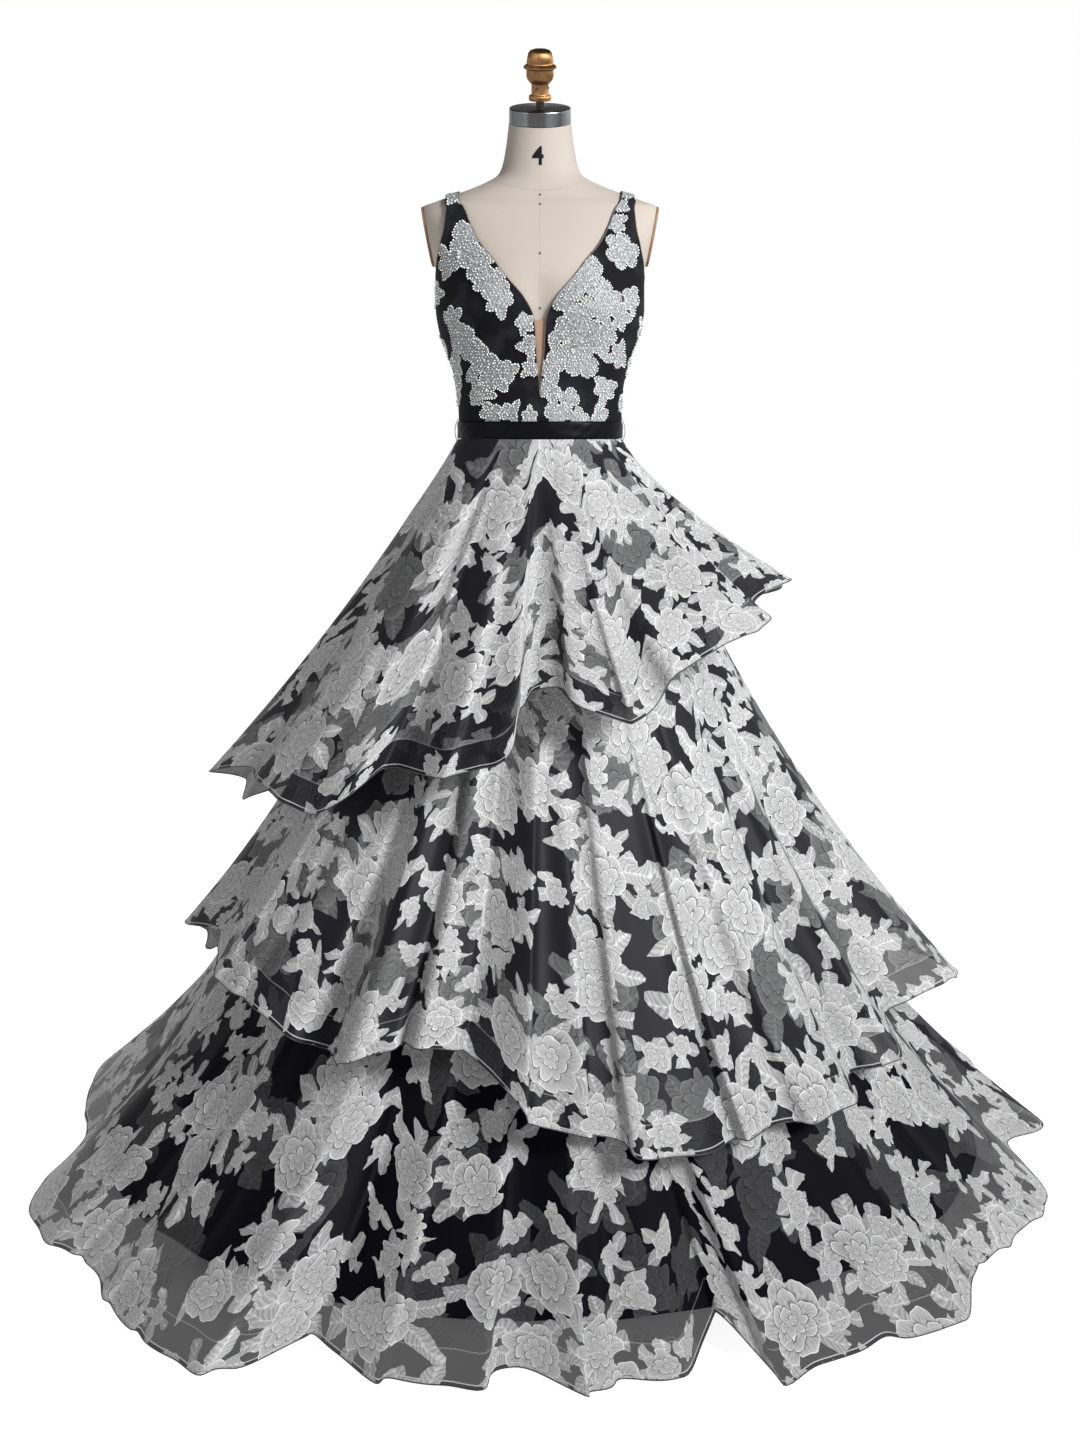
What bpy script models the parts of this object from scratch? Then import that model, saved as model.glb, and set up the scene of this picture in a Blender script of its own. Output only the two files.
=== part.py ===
"""Prom dress on a limbless dress form, modelled at its real size.

The gown stands on its form as it is shown: a V-neck bodice cut in four panels, a narrow belt, a plain
lining and three sheer tiers whose wavy hems step down to the floor. The form is a smooth torso with a steel
neck cap, a turned finial, two arm plates, a pole and a round base.

Frame: metres, +Z up, origin at the middle of the stand's underside. The front of the dress faces -Y, so the
wearer's left is +X. An azimuth is measured from the front, in degrees, and grows towards +X.
"""

from collections import namedtuple
from math import asin, atan2, cos, degrees, pi, radians, sin

import bmesh
import bpy
import numpy as np
from mathutils import Matrix, Vector

# Heights of the main lines.
NECK_TOP = 1.585
SHOULDER_SEARCH = (1.43, 1.53)
WAIST = 1.125
BELT_HEIGHT = 0.027
SKIRT_TOP = 1.1112
FORM_BOTTOM = 0.780
LINING_HEM = 0.015

# Cloth walls and the gaps between neighbours.
SEAM = 0.0003
WALL = 0.0012
BODICE_WALL = 0.0014
APPLIQUE_RISE = 0.0012
INSERT_WALL = 0.0009
INSERT_GAP = 0.0010
BODICE_GAP = 0.0030
BELT_WALL = 0.0015
BELT_GAP = 0.0056
LINING_GAP = 0.0010
TIER_LIFT = 0.0010
TOP_TIER_LIFT = 0.0024
STRAP_SEAT = 0.0007

# Mesh fineness, and how finely a height is searched for.
FORM_SIDES = 32
LINING_SIDES = 32
BELT_SIDES = 48
CAP_SIDES = 40
FINIAL_SIDES = 20
POLE_SIDES = 24
BASE_SIDES = 40
INSERT_ROWS = 7
INSERT_COLS = 9
HALVINGS = 40

TorsoRow = namedtuple("TorsoRow", "z side front back square")
TORSO = [
    TorsoRow(0.780, 0.1500, 0.1050, 0.1180, 2.2),
    TorsoRow(0.860, 0.1650, 0.1120, 0.1280, 2.2),
    TorsoRow(0.930, 0.1660, 0.1150, 0.1220, 2.2),
    TorsoRow(1.000, 0.1550, 0.1120, 0.1080, 2.2),
    TorsoRow(1.060, 0.1370, 0.1020, 0.0930, 2.1),
    TorsoRow(1.092, 0.1265, 0.0950, 0.0850, 2.1),
    TorsoRow(1.125, 0.1220, 0.0920, 0.0820, 2.1),
    TorsoRow(1.180, 0.1240, 0.0960, 0.0840, 2.1),
    TorsoRow(1.240, 0.1385, 0.1080, 0.0900, 2.2),
    TorsoRow(1.280, 0.1525, 0.1200, 0.0950, 2.2),
    TorsoRow(1.310, 0.1565, 0.1250, 0.0980, 2.2),
    TorsoRow(1.350, 0.1560, 0.1230, 0.1010, 2.3),
    TorsoRow(1.385, 0.1660, 0.1120, 0.1040, 2.4),
    TorsoRow(1.420, 0.1790, 0.0970, 0.1020, 2.5),
    TorsoRow(1.445, 0.1860, 0.0840, 0.0960, 2.5),
    TorsoRow(1.458, 0.1830, 0.0770, 0.0900, 2.4),
    TorsoRow(1.468, 0.1590, 0.0700, 0.0830, 2.3),
    TorsoRow(1.478, 0.1310, 0.0650, 0.0760, 2.2),
    TorsoRow(1.488, 0.1030, 0.0610, 0.0690, 2.1),
    TorsoRow(1.498, 0.0800, 0.0580, 0.0640, 2.0),
    TorsoRow(1.508, 0.0640, 0.0560, 0.0600, 2.0),
    TorsoRow(1.525, 0.0565, 0.0530, 0.0560, 2.0),
    TorsoRow(1.550, 0.0515, 0.0495, 0.0520, 2.0),
    TorsoRow(1.585, 0.0470, 0.0470, 0.0470, 2.0),
]

# The top of the neck tilts forward about the middle of its top face, more and more from this height upwards.
NECK_TILT = 19.0
NECK_TILT_FROM = 1.530

# The bust: two soft crowns beside the centre line and a shallow dip between them.
BUST_HEIGHT = 1.305
BUST_SPREAD = 0.042
BUST_AZIMUTH = 33.0
BUST_WIDTH = 17.0
BUST_RISE = 0.014
BUST_DIP = 0.006
BUST_DIP_WIDTH = 10.2

# Each arm plate closes a flat cut through the shoulder, which leans out towards the top.
ARM_CUT_X = 0.158
ARM_CUT_Z = 1.353
ARM_CUT_LEAN = 0.175
ARM_CUT_FLOOR = 1.349
ARM_PLATE_THICK = 0.004
ARM_PLATE_SCALE = 0.97

# Edges of a bodice panel, from the waist up: the neck edge in from the centre, the arm edge at the side seam
# (side=True) or at a distance from the centre.
EdgeRow = namedtuple("EdgeRow", "neck_x neck_z arm_x arm_z side")
BODICE_FRONT = [
    EdgeRow(0.0002, 1.1115, 0.1220, 1.1115, True),
    EdgeRow(0.0002, 1.150, 0.1220, 1.150, True),
    EdgeRow(0.0006, 1.186, 0.1250, 1.186, True),
    EdgeRow(0.0055, 1.236, 0.1380, 1.233, True),
    EdgeRow(0.0098, 1.286, 0.1520, 1.282, True),
    EdgeRow(0.0240, 1.317, 0.1560, 1.316, True),
    EdgeRow(0.0440, 1.342, 0.1560, 1.345, True),
    EdgeRow(0.0660, 1.370, 0.1540, 1.364, False),
    EdgeRow(0.0870, 1.396, 0.1485, 1.392, False),
    EdgeRow(0.1020, 1.424, 0.1420, 1.420, False),
    EdgeRow(0.1140, 1.452, 0.1395, 1.447, False),
]
BODICE_BACK = [
    EdgeRow(0.0002, 1.1115, 0.1220, 1.1115, True),
    EdgeRow(0.0002, 1.150, 0.1220, 1.150, True),
    EdgeRow(0.0002, 1.200, 0.1250, 1.195, True),
    EdgeRow(0.0002, 1.240, 0.1380, 1.235, True),
    EdgeRow(0.0120, 1.270, 0.1520, 1.272, True),
    EdgeRow(0.0300, 1.300, 0.1560, 1.310, True),
    EdgeRow(0.0480, 1.330, 0.1560, 1.345, True),
    EdgeRow(0.0660, 1.362, 0.1540, 1.366, False),
    EdgeRow(0.0830, 1.394, 0.1485, 1.395, False),
    EdgeRow(0.0980, 1.424, 0.1430, 1.424, False),
    EdgeRow(0.1110, 1.450, 0.1405, 1.449, False),
]
STRAP_IN = 0.1225
STRAP_OUT = 0.1410
STRAP_AZIMUTHS = (71.0, 77.0, 82.0, 86.0, 89.93)
PANEL_ROWS = 20
PANEL_COLS = 10
SEAT_FROM = 1.470
SEAT_TO = 1.484

# Raised flowers on the bodice: where each cluster lies on a front or back panel, and its reach.
Cluster = namedtuple("Cluster", "x z reach")
FRONT_LEFT_FLOWERS = [
    Cluster(0.050, 1.285, 0.048),
    Cluster(0.035, 1.195, 0.030),
    Cluster(0.118, 1.395, 0.024),
    Cluster(0.131, 1.455, 0.018),
    Cluster(0.118, 1.290, 0.022),
    Cluster(0.095, 1.180, 0.024),
]
FRONT_RIGHT_FLOWERS = [
    Cluster(0.085, 1.375, 0.034),
    Cluster(0.122, 1.425, 0.020),
    Cluster(0.018, 1.265, 0.024),
    Cluster(0.100, 1.255, 0.030),
    Cluster(0.060, 1.205, 0.026),
    Cluster(0.145, 1.300, 0.022),
]
BACK_FLOWERS = [
    Cluster(0.075, 1.300, 0.034),
    Cluster(0.040, 1.205, 0.032),
    Cluster(0.110, 1.200, 0.026),
    Cluster(0.112, 1.410, 0.022),
]

# The mesh piece behind the V: how far it runs under the panels, and its ends.
INSERT_UNDERLAP = 0.008
INSERT_LOW = 1.176
INSERT_HIGH = 1.286

# The lining's plain cone, which carries every tier.
ConeRow = namedtuple("ConeRow", "z radius")
CONE = [
    ConeRow(0.000, 0.7180),
    ConeRow(0.015, 0.7080),
    ConeRow(0.100, 0.6380),
    ConeRow(0.200, 0.5650),
    ConeRow(0.300, 0.5070),
    ConeRow(0.440, 0.4410),
    ConeRow(0.620, 0.3580),
    ConeRow(0.800, 0.2770),
    ConeRow(0.920, 0.2220),
    ConeRow(1.000, 0.1840),
    ConeRow(1.060, 0.1510),
    ConeRow(1.1112, 0.1225),
]
ROUND_FROM = SKIRT_TOP
ROUND_TO = 0.920

# Hems: one row for each crest and hollow of the wave, round from the back.
HemRow = namedtuple("HemRow", "azimuth radius z")
HEM_1 = [
    HemRow(-178, 0.400, 0.640),
    HemRow(-165, 0.500, 0.600),
    HemRow(-150, 0.410, 0.595),
    HemRow(-136, 0.520, 0.550),
    HemRow(-122, 0.430, 0.540),
    HemRow(-108, 0.530, 0.500),
    HemRow(-95, 0.485, 0.560),
    HemRow(-80, 0.525, 0.600),
    HemRow(-66, 0.470, 0.625),
    HemRow(-50, 0.500, 0.615),
    HemRow(-39, 0.505, 0.600),
    HemRow(-33, 0.410, 0.655),
    HemRow(-17, 0.445, 0.662),
    HemRow(-10, 0.435, 0.675),
    HemRow(-4, 0.370, 0.745),
    HemRow(5, 0.355, 0.772),
    HemRow(17, 0.430, 0.732),
    HemRow(30, 0.402, 0.797),
    HemRow(43, 0.410, 0.833),
    HemRow(56, 0.405, 0.852),
    HemRow(64, 0.355, 0.872),
    HemRow(76, 0.395, 0.900),
    HemRow(92, 0.365, 0.900),
    HemRow(107, 0.415, 0.865),
    HemRow(122, 0.370, 0.830),
    HemRow(138, 0.440, 0.775),
    HemRow(153, 0.385, 0.735),
    HemRow(168, 0.465, 0.685),
]
HEM_2 = [
    HemRow(-179, 0.580, 0.270),
    HemRow(-166, 0.645, 0.250),
    HemRow(-152, 0.565, 0.270),
    HemRow(-138, 0.635, 0.240),
    HemRow(-124, 0.560, 0.250),
    HemRow(-110, 0.615, 0.220),
    HemRow(-96, 0.565, 0.300),
    HemRow(-80, 0.570, 0.360),
    HemRow(-66, 0.530, 0.375),
    HemRow(-50, 0.590, 0.350),
    HemRow(-40, 0.600, 0.335),
    HemRow(-32, 0.560, 0.290),
    HemRow(-23, 0.640, 0.312),
    HemRow(-19, 0.575, 0.325),
    HemRow(-15, 0.612, 0.332),
    HemRow(-11, 0.560, 0.318),
    HemRow(-7, 0.585, 0.300),
    HemRow(-2, 0.642, 0.255),
    HemRow(8, 0.632, 0.226),
    HemRow(18, 0.662, 0.203),
    HemRow(29, 0.640, 0.214),
    HemRow(41, 0.655, 0.216),
    HemRow(47, 0.600, 0.228),
    HemRow(52, 0.650, 0.245),
    HemRow(57, 0.600, 0.290),
    HemRow(66, 0.660, 0.315),
    HemRow(78, 0.668, 0.290),
    HemRow(92, 0.600, 0.280),
    HemRow(106, 0.670, 0.250),
    HemRow(120, 0.590, 0.270),
    HemRow(134, 0.660, 0.240),
    HemRow(149, 0.580, 0.270),
    HemRow(165, 0.655, 0.250),
]
HEM_3 = [
    HemRow(-178, 0.785, 0.024),
    HemRow(-165, 0.865, 0.004),
    HemRow(-150, 0.765, 0.026),
    HemRow(-136, 0.855, 0.004),
    HemRow(-122, 0.755, 0.026),
    HemRow(-108, 0.815, 0.004),
    HemRow(-95, 0.775, 0.006),
    HemRow(-79, 0.735, 0.022),
    HemRow(-62, 0.835, 0.004),
    HemRow(-48, 0.822, 0.008),
    HemRow(-37, 0.875, 0.004),
    HemRow(-30, 0.897, 0.004),
    HemRow(-25, 0.882, 0.004),
    HemRow(-21, 0.802, 0.014),
    HemRow(-14, 0.834, 0.004),
    HemRow(-9, 0.845, 0.004),
    HemRow(-2, 0.810, 0.012),
    HemRow(4, 0.850, 0.004),
    HemRow(12, 0.836, 0.004),
    HemRow(16, 0.785, 0.050),
    HemRow(20, 0.862, 0.004),
    HemRow(28, 0.858, 0.004),
    HemRow(37, 0.872, 0.004),
    HemRow(45, 0.825, 0.018),
    HemRow(53, 0.812, 0.012),
    HemRow(66, 0.822, 0.004),
    HemRow(76, 0.755, 0.024),
    HemRow(86, 0.825, 0.004),
    HemRow(97, 0.765, 0.018),
    HemRow(108, 0.810, 0.004),
    HemRow(121, 0.760, 0.026),
    HemRow(135, 0.855, 0.004),
    HemRow(151, 0.770, 0.026),
    HemRow(166, 0.850, 0.004),
]

# A tier: its hem, its top seam (which may slant up towards +X), how its flare and its folds grow downwards,
# and its mesh.
Tier = namedtuple("Tier", "hem top slant flare_power fold_power lift columns rows")
TIERS = {
    "skirt_tier_1": Tier(HEM_1, SKIRT_TOP, 0.0, 1.75, 1.15, TOP_TIER_LIFT, 72, 8),
    "skirt_tier_2": Tier(HEM_2, 0.862, 0.068, 2.15, 1.25, TIER_LIFT, 80, 7),
    "skirt_tier_3": Tier(HEM_3, 0.445, 0.0, 2.15, 1.35, TIER_LIFT, 88, 7),
}
FLARE_BLUR = 34.0
AZIMUTH_STEPS = 360
ROW_CROWDING = 0.85

# The stand and the fittings, all turned: (radius, height) from the top down.
CAP_PROFILE = [
    (0.0, 0.0220),
    (0.0450, 0.0220),
    (0.0465, 0.0208),
    (0.0470, 0.0012),
    (0.0462, 0.0),
    (0.0, 0.0),
]
FINIAL_PROFILE = [
    (0.0, 0.0830),
    (0.0080, 0.0824),
    (0.0150, 0.0800),
    (0.0183, 0.0750),
    (0.0202, 0.0640),
    (0.0212, 0.0600),
    (0.0249, 0.0578),
    (0.0249, 0.0556),
    (0.0203, 0.0535),
    (0.0207, 0.0450),
    (0.0178, 0.0385),
    (0.0130, 0.0335),
    (0.0129, 0.0180),
    (0.0165, 0.0165),
    (0.0170, 0.0125),
    (0.0165, 0.0095),
    (0.0055, 0.0090),
    (0.0055, 0.0),
    (0.0, 0.0),
]
POLE_RADIUS = 0.016
COLLAR_RADIUS = 0.030
COLLAR_LOW = 0.7297
COLLAR_TAPER = 0.7237
BOSS_TOP = 0.0550
POLE_LOW = BOSS_TOP + SEAM
POLE_HIGH = FORM_BOTTOM - SEAM
BASE_PROFILE = [
    (0.0, BOSS_TOP),
    (0.0310, BOSS_TOP),
    (0.0340, 0.0520),
    (0.0380, 0.0360),
    (0.0540, 0.0300),
    (0.2090, 0.0220),
    (0.2150, 0.0160),
    (0.2150, 0.0),
    (0.0, 0.0),
]
POLE_PROFILE = [
    (0.0, POLE_HIGH),
    (COLLAR_RADIUS, POLE_HIGH),
    (COLLAR_RADIUS, COLLAR_LOW),
    (POLE_RADIUS, COLLAR_TAPER),
    (POLE_RADIUS, POLE_LOW),
    (0.0, POLE_LOW),
]

# Finishes: base colour, roughness, metallic.
Finish = namedtuple("Finish", "color roughness metallic")
FINISHES = {
    "linen": Finish((0.76, 0.69, 0.60), 0.85, 0.0),
    "brushed_steel": Finish((0.55, 0.55, 0.55), 0.32, 1.0),
    "old_brass": Finish((0.45, 0.31, 0.12), 0.42, 1.0),
    "arm_board": Finish((0.42, 0.27, 0.16), 0.60, 0.0),
    "stand_paint": Finish((0.03, 0.03, 0.03), 0.45, 0.0),
    "bodice_velvet": Finish((0.010, 0.010, 0.012), 0.80, 0.0),
    "nude_mesh": Finish((0.50, 0.34, 0.23), 0.80, 0.0),
    "belt_satin": Finish((0.008, 0.008, 0.010), 0.30, 0.0),
    "lining_satin": Finish((0.006, 0.006, 0.008), 0.50, 0.0),
    "printed_organza": Finish((0.42, 0.42, 0.43), 0.60, 0.0),
}


def monotone(knots, values, at):
    """Read a smooth curve through the knots that never overshoots between them."""
    knots, values, at = (np.asarray(item, float) for item in (knots, values, at))
    width = np.diff(knots)
    slope = np.diff(values) / width
    tangent = np.zeros_like(values)
    tangent[0], tangent[-1] = slope[0], slope[-1]
    for i in range(1, len(knots) - 1):
        if slope[i - 1] * slope[i] > 0:
            left = 2 * width[i] + width[i - 1]
            right = width[i] + 2 * width[i - 1]
            tangent[i] = (left + right) / (left / slope[i - 1] + right / slope[i])
    k = np.clip(np.searchsorted(knots, at, side="right") - 1, 0, len(width) - 1)
    t = np.clip((at - knots[k]) / width[k], 0.0, 1.0)
    rise = (3 - 2 * t) * t * t
    start = t * (1 - t) ** 2 * width[k] * tangent[k]
    end = t * t * (t - 1) * width[k] * tangent[k + 1]
    return values[k] * (1 - rise) + values[k + 1] * rise + start + end


def smooth_step(low, high, at):
    """Ease from 0 at low to 1 at high."""
    t = np.clip((np.asarray(at, float) - low) / (high - low), 0.0, 1.0)
    return t * t * (3 - 2 * t)


def column(rows, name):
    """One named column of a table."""
    return [getattr(row, name) for row in rows]


def torso_size(name, z):
    """A size of the torso's section at a height."""
    return monotone(column(TORSO, "z"), column(TORSO, name), z)


def torso_radius(z, azimuth):
    """Distance of the torso's surface from the pole's axis."""
    turn = np.radians(azimuth)
    depth = np.where(np.cos(turn) > 0, torso_size("front", z), torso_size("back", z))
    power = torso_size("square", z)
    across = (np.abs(np.sin(turn)) / torso_size("side", z)) ** power
    along = (np.abs(np.cos(turn)) / depth) ** power
    off_centre = (np.abs(azimuth) - BUST_AZIMUTH) / BUST_WIDTH
    level = np.exp(-(((z - BUST_HEIGHT) / BUST_SPREAD) ** 2))
    crown = BUST_RISE * np.exp(-(off_centre**2)) - BUST_DIP * np.exp(-((azimuth / BUST_DIP_WIDTH) ** 2))
    return (across + along) ** (-1 / power) + crown * level


def place(radius, azimuth, z):
    """The point at a radius and azimuth, at height z."""
    turn = radians(azimuth)
    return Vector((radius * sin(turn), -radius * cos(turn), z))


def tilt_neck(point):
    """The point with its share of the neck's forward tilt."""
    share = float(smooth_step(NECK_TILT_FROM, NECK_TOP, point.z))
    flat = 1 - share * (1 - cos(radians(NECK_TILT)))
    return Vector((point.x, point.y * flat, point.z + point.y * sin(radians(NECK_TILT)) * share))


def torso_point(z, azimuth, lift=0.0):
    """A point on the torso, moved out along the surface's normal."""
    step_z, step_turn = 0.002, 1.5
    here = place(float(torso_radius(z, azimuth)), azimuth, z)
    up = place(float(torso_radius(z + step_z, azimuth)), azimuth, z + step_z)
    down = place(float(torso_radius(z - step_z, azimuth)), azimuth, z - step_z)
    ahead = place(float(torso_radius(z, azimuth + step_turn)), azimuth + step_turn, z)
    behind = place(float(torso_radius(z, azimuth - step_turn)), azimuth - step_turn, z)
    return here + (ahead - behind).cross(up - down).normalized() * lift


def azimuth_of(x, z, face="front"):
    """Turn from the middle of the front or back face to the point that lies x from the centre at height z."""
    side = float(torso_size("side", z))
    power = float(torso_size("square", z))
    depth = float(torso_size(face, z)) * max(1 - min(x / side, 1.0) ** power, 0.0) ** (1 / power)
    return degrees(atan2(x, depth))


def shoulder_height(x, azimuth):
    """Height at which the torso's upper surface passes x from the centre at an azimuth."""
    low, high = SHOULDER_SEARCH
    for _ in range(HALVINGS):
        middle = (low + high) / 2
        if float(torso_radius(middle, azimuth)) * sin(radians(azimuth)) > x:
            low = middle
        else:
            high = middle
    return (low + high) / 2


def cone_radius(z, azimuth):
    """Radius of the lining's outer face: the waist's oval at the top, round below the hips."""
    waist = torso_radius(SKIRT_TOP, azimuth) + LINING_GAP + WALL
    cone = np.interp(z, column(CONE, "z"), column(CONE, "radius"))
    growth = cone - CONE[-1].radius
    roundness = smooth_step(0.0, 1.0, (ROUND_FROM - z) / (ROUND_FROM - ROUND_TO))
    return (waist + growth) * (1 - roundness) + (cone + LINING_GAP + WALL) * roundness


def around(rows, name, azimuth):
    """A hem's named size at an azimuth, read right round."""
    turns = np.array(column(rows, "azimuth"), float)
    sizes = np.array(column(rows, name), float)
    knots = np.concatenate([turns - 360, turns, turns + 360])
    return monotone(knots, np.tile(sizes, 3), azimuth)


def mean_hem(rows, azimuth):
    """The hem's radius with its folds averaged out."""
    turns = np.linspace(-180, 180, AZIMUTH_STEPS, endpoint=False)
    sizes = around(rows, "radius", turns)
    apart = (np.asarray(azimuth, float)[..., None] - turns + 180) % 360 - 180
    weight = np.exp(-((apart / FLARE_BLUR) ** 2))
    return (weight * sizes).sum(-1) / weight.sum(-1)


def tier_grid(tier):
    """Rings of points on a tier's outer face, from the hem up to its top seam."""
    azimuths = np.linspace(-180, 180, tier.columns, endpoint=False)
    hem_z = around(tier.hem, "z", azimuths)
    hem_radius = around(tier.hem, "radius", azimuths)
    hem_mean = mean_hem(tier.hem, azimuths)
    top_z = tier.top + tier.slant * np.sin(np.radians(azimuths))
    base = tier.lift + WALL
    flare = hem_mean - cone_radius(hem_z, azimuths) - base
    fold = hem_radius - hem_mean
    rings = []
    for step in range(tier.rows + 1):
        down = (1 - step / tier.rows) ** ROW_CROWDING
        z = top_z + (hem_z - top_z) * down
        seat = cone_radius(z, azimuths) + base
        wave = flare * down**tier.flare_power + fold * down**tier.fold_power
        radius = seat + np.maximum(wave, 0.0)
        rings.append([place(r, a, h) for r, a, h in zip(radius, azimuths, z)])
    return rings


def material(name):
    """A finish's material, made once."""
    found = bpy.data.materials.get(name)
    if found:
        return found
    finish = FINISHES[name]
    made = bpy.data.materials.new(name)
    made.use_nodes = True
    shader = made.node_tree.nodes["Principled BSDF"]
    shader.inputs["Base Color"].default_value = (*finish.color, 1.0)
    shader.inputs["Roughness"].default_value = finish.roughness
    shader.inputs["Metallic"].default_value = finish.metallic
    return made


def add_object(name, form, finish, sharp=40.0):
    """Link a bmesh as a named object with one finish."""
    mesh = bpy.data.meshes.new(name)
    form.to_mesh(mesh)
    form.free()
    mesh.materials.append(material(finish))
    mesh.shade_smooth()
    mesh.set_sharp_from_angle(angle=radians(sharp))
    made = bpy.data.objects.new(name, mesh)
    bpy.context.collection.objects.link(made)
    return made


def sheet(rings, closed):
    """A bmesh skin over rows of points that run upwards, facing outwards."""
    form = bmesh.new()
    rows = [[form.verts.new(point) for point in ring] for ring in rings]
    count = len(rows[0])
    for low, high in zip(rows, rows[1:]):
        for i in range(count if closed else count - 1):
            j = (i + 1) % count
            form.faces.new((low[i], low[j], high[j], high[i]))
    return form, rows


def add_wall(name, form, finish, thick, offset, weights=None):
    """Give a skin its wall with a Solidify modifier, as thick at each point as its weight says."""
    made = add_object(name, form, finish)
    wall = made.modifiers.new("wall", "SOLIDIFY")
    wall.thickness = thick
    wall.offset = offset
    wall.use_rim = True
    wall.use_even_offset = False
    if weights is not None:
        group = made.vertex_groups.new(name="thickness")
        for index, weight in enumerate(weights):
            group.add([index], weight, "REPLACE")
        wall.vertex_group = group.name
    return made


def add_turned(name, profile, finish, sides, height=0.0, tilt=0.0):
    """Turn a profile of (radius, height) pairs, from the top down, and tilt it about the neck's top."""
    form = bmesh.new()
    points = [form.verts.new((radius, 0.0, height + z)) for radius, z in profile]
    edges = [form.edges.new(pair) for pair in zip(points, points[1:])]
    bmesh.ops.spin(
        form, geom=points + edges, cent=(0, 0, 0), axis=(0, 0, 1), angle=2 * pi, steps=sides, use_merge=True
    )
    bmesh.ops.remove_doubles(form, verts=form.verts, dist=1e-6)
    turn = Matrix.Rotation(radians(tilt), 3, "X")
    bmesh.ops.rotate(form, verts=form.verts, cent=(0, 0, NECK_TOP), matrix=turn)
    bmesh.ops.recalc_face_normals(form, faces=form.faces)
    return add_object(name, form, finish, sharp=30.0)


def arm_plane(sign):
    """A point and the outward normal of the flat cut that an arm plate closes."""
    return Vector((sign * ARM_CUT_X, 0.0, ARM_CUT_Z)), Vector((sign, 0.0, -ARM_CUT_LEAN)).normalized()


def build_form():
    """The smooth torso with its two flat arm cuts, and the plate that closes each."""
    heights = [row.z for row in TORSO]
    azimuths = np.linspace(-180, 180, FORM_SIDES, endpoint=False)
    rings = [[tilt_neck(place(float(torso_radius(z, a)), a, z)) for a in azimuths] for z in heights]
    form, rows = sheet(rings, closed=True)
    form.faces.new(rows[-1])
    form.faces.new(rows[0][::-1])
    for side, sign in (("left", 1), ("right", -1)):
        point, normal = arm_plane(sign)
        shoulder = [face for face in form.faces if min(vert.co.z for vert in face.verts) > ARM_CUT_FLOOR]
        cut = bmesh.ops.bisect_plane(
            form,
            geom=list({part for face in shoulder for part in (face, *face.edges, *face.verts)}),
            dist=1e-5,
            plane_co=point,
            plane_no=normal,
            clear_outer=True,
        )
        rim = [item for item in cut["geom_cut"] if isinstance(item, bmesh.types.BMEdge)]
        flat = bmesh.ops.edgeloop_fill(form, edges=rim)["faces"][0]
        outline = [vert.co.copy() for vert in flat.verts]
        build_arm_plate(f"arm_plate_{side}", outline, normal)
    bmesh.ops.recalc_face_normals(form, faces=form.faces)
    add_object("form_torso", form, "linen")


def build_arm_plate(name, outline, normal):
    """A board the shape of the arm cut, set a seam's gap off it."""
    middle = sum(outline, Vector()) / len(outline)
    form = bmesh.new()
    rim = [form.verts.new(middle + (p - middle) * ARM_PLATE_SCALE + normal * SEAM) for p in outline]
    face = form.faces.new(rim)
    grown = bmesh.ops.extrude_face_region(form, geom=[face])
    moved = [item for item in grown["geom"] if isinstance(item, bmesh.types.BMVert)]
    bmesh.ops.translate(form, verts=moved, vec=normal * ARM_PLATE_THICK)
    bmesh.ops.recalc_face_normals(form, faces=form.faces)
    add_object(name, form, "arm_board")


def panel_edges(rows, face):
    """Neck and arm edges of a panel as turns from its face's middle and heights, up to the shoulder seam."""
    half_seam = degrees(asin(0.5 * SEAM / float(torso_size("side", WAIST))))
    neck, arm = [], []
    for row in rows:
        neck.append((azimuth_of(row.neck_x, row.neck_z, face), row.neck_z))
        arm_turn = 90 - half_seam if row.side else azimuth_of(row.arm_x, row.arm_z, face)
        arm.append((arm_turn, row.arm_z))
    for azimuth in STRAP_AZIMUTHS:
        neck.append((azimuth, shoulder_height(STRAP_IN, azimuth)))
        arm.append((azimuth, shoulder_height(STRAP_OUT, azimuth)))
    return neck, arm


def resample(edge, steps):
    """Read an edge's azimuths and heights at even steps along its rows."""
    marks = np.arange(len(edge))
    at = np.linspace(0, len(edge) - 1, steps + 1)
    turns = monotone(marks, [turn for turn, _ in edge], at)
    heights = monotone(marks, [z for _, z in edge], at)
    return list(zip(turns, heights))


def build_panel(name, rows, sign, back, flowers):
    """One bodice panel: a plain inner face laid on the torso, with raised flowers in its outer face."""
    edges = panel_edges(rows, "back" if back else "front")
    neck, arm = (resample(edge, PANEL_ROWS) for edge in edges)
    rings, weights = [], []
    for (neck_turn, neck_z), (arm_turn, arm_z) in zip(neck, arm):
        ring = []
        for step in range(PANEL_COLS + 1):
            across = step / PANEL_COLS
            turn = neck_turn + (arm_turn - neck_turn) * across
            z = neck_z + (arm_z - neck_z) * across
            seat = BODICE_GAP + (STRAP_SEAT - BODICE_GAP) * float(smooth_step(SEAT_FROM, SEAT_TO, z))
            point = torso_point(z, sign * (180 - turn if back else turn), seat)
            ring.append(point)
            reach = [(abs(point.x) - c.x) ** 2 + (z - c.z) ** 2 - c.reach**2 for c in flowers]
            raised = APPLIQUE_RISE if min(reach) < 0 and 0 < step < PANEL_COLS else 0.0
            weights.append((BODICE_WALL + raised) / (BODICE_WALL + APPLIQUE_RISE))
        rings.append(ring)
    if (sign < 0) != back:
        rings = [ring[::-1] for ring in rings]
        width = PANEL_COLS + 1
        weights = [w for i in range(0, len(weights), width) for w in weights[i : i + width][::-1]]
    form, _ = sheet(rings, closed=False)
    add_wall(name, form, "bodice_velvet", BODICE_WALL + APPLIQUE_RISE, 1.0, weights)


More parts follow.
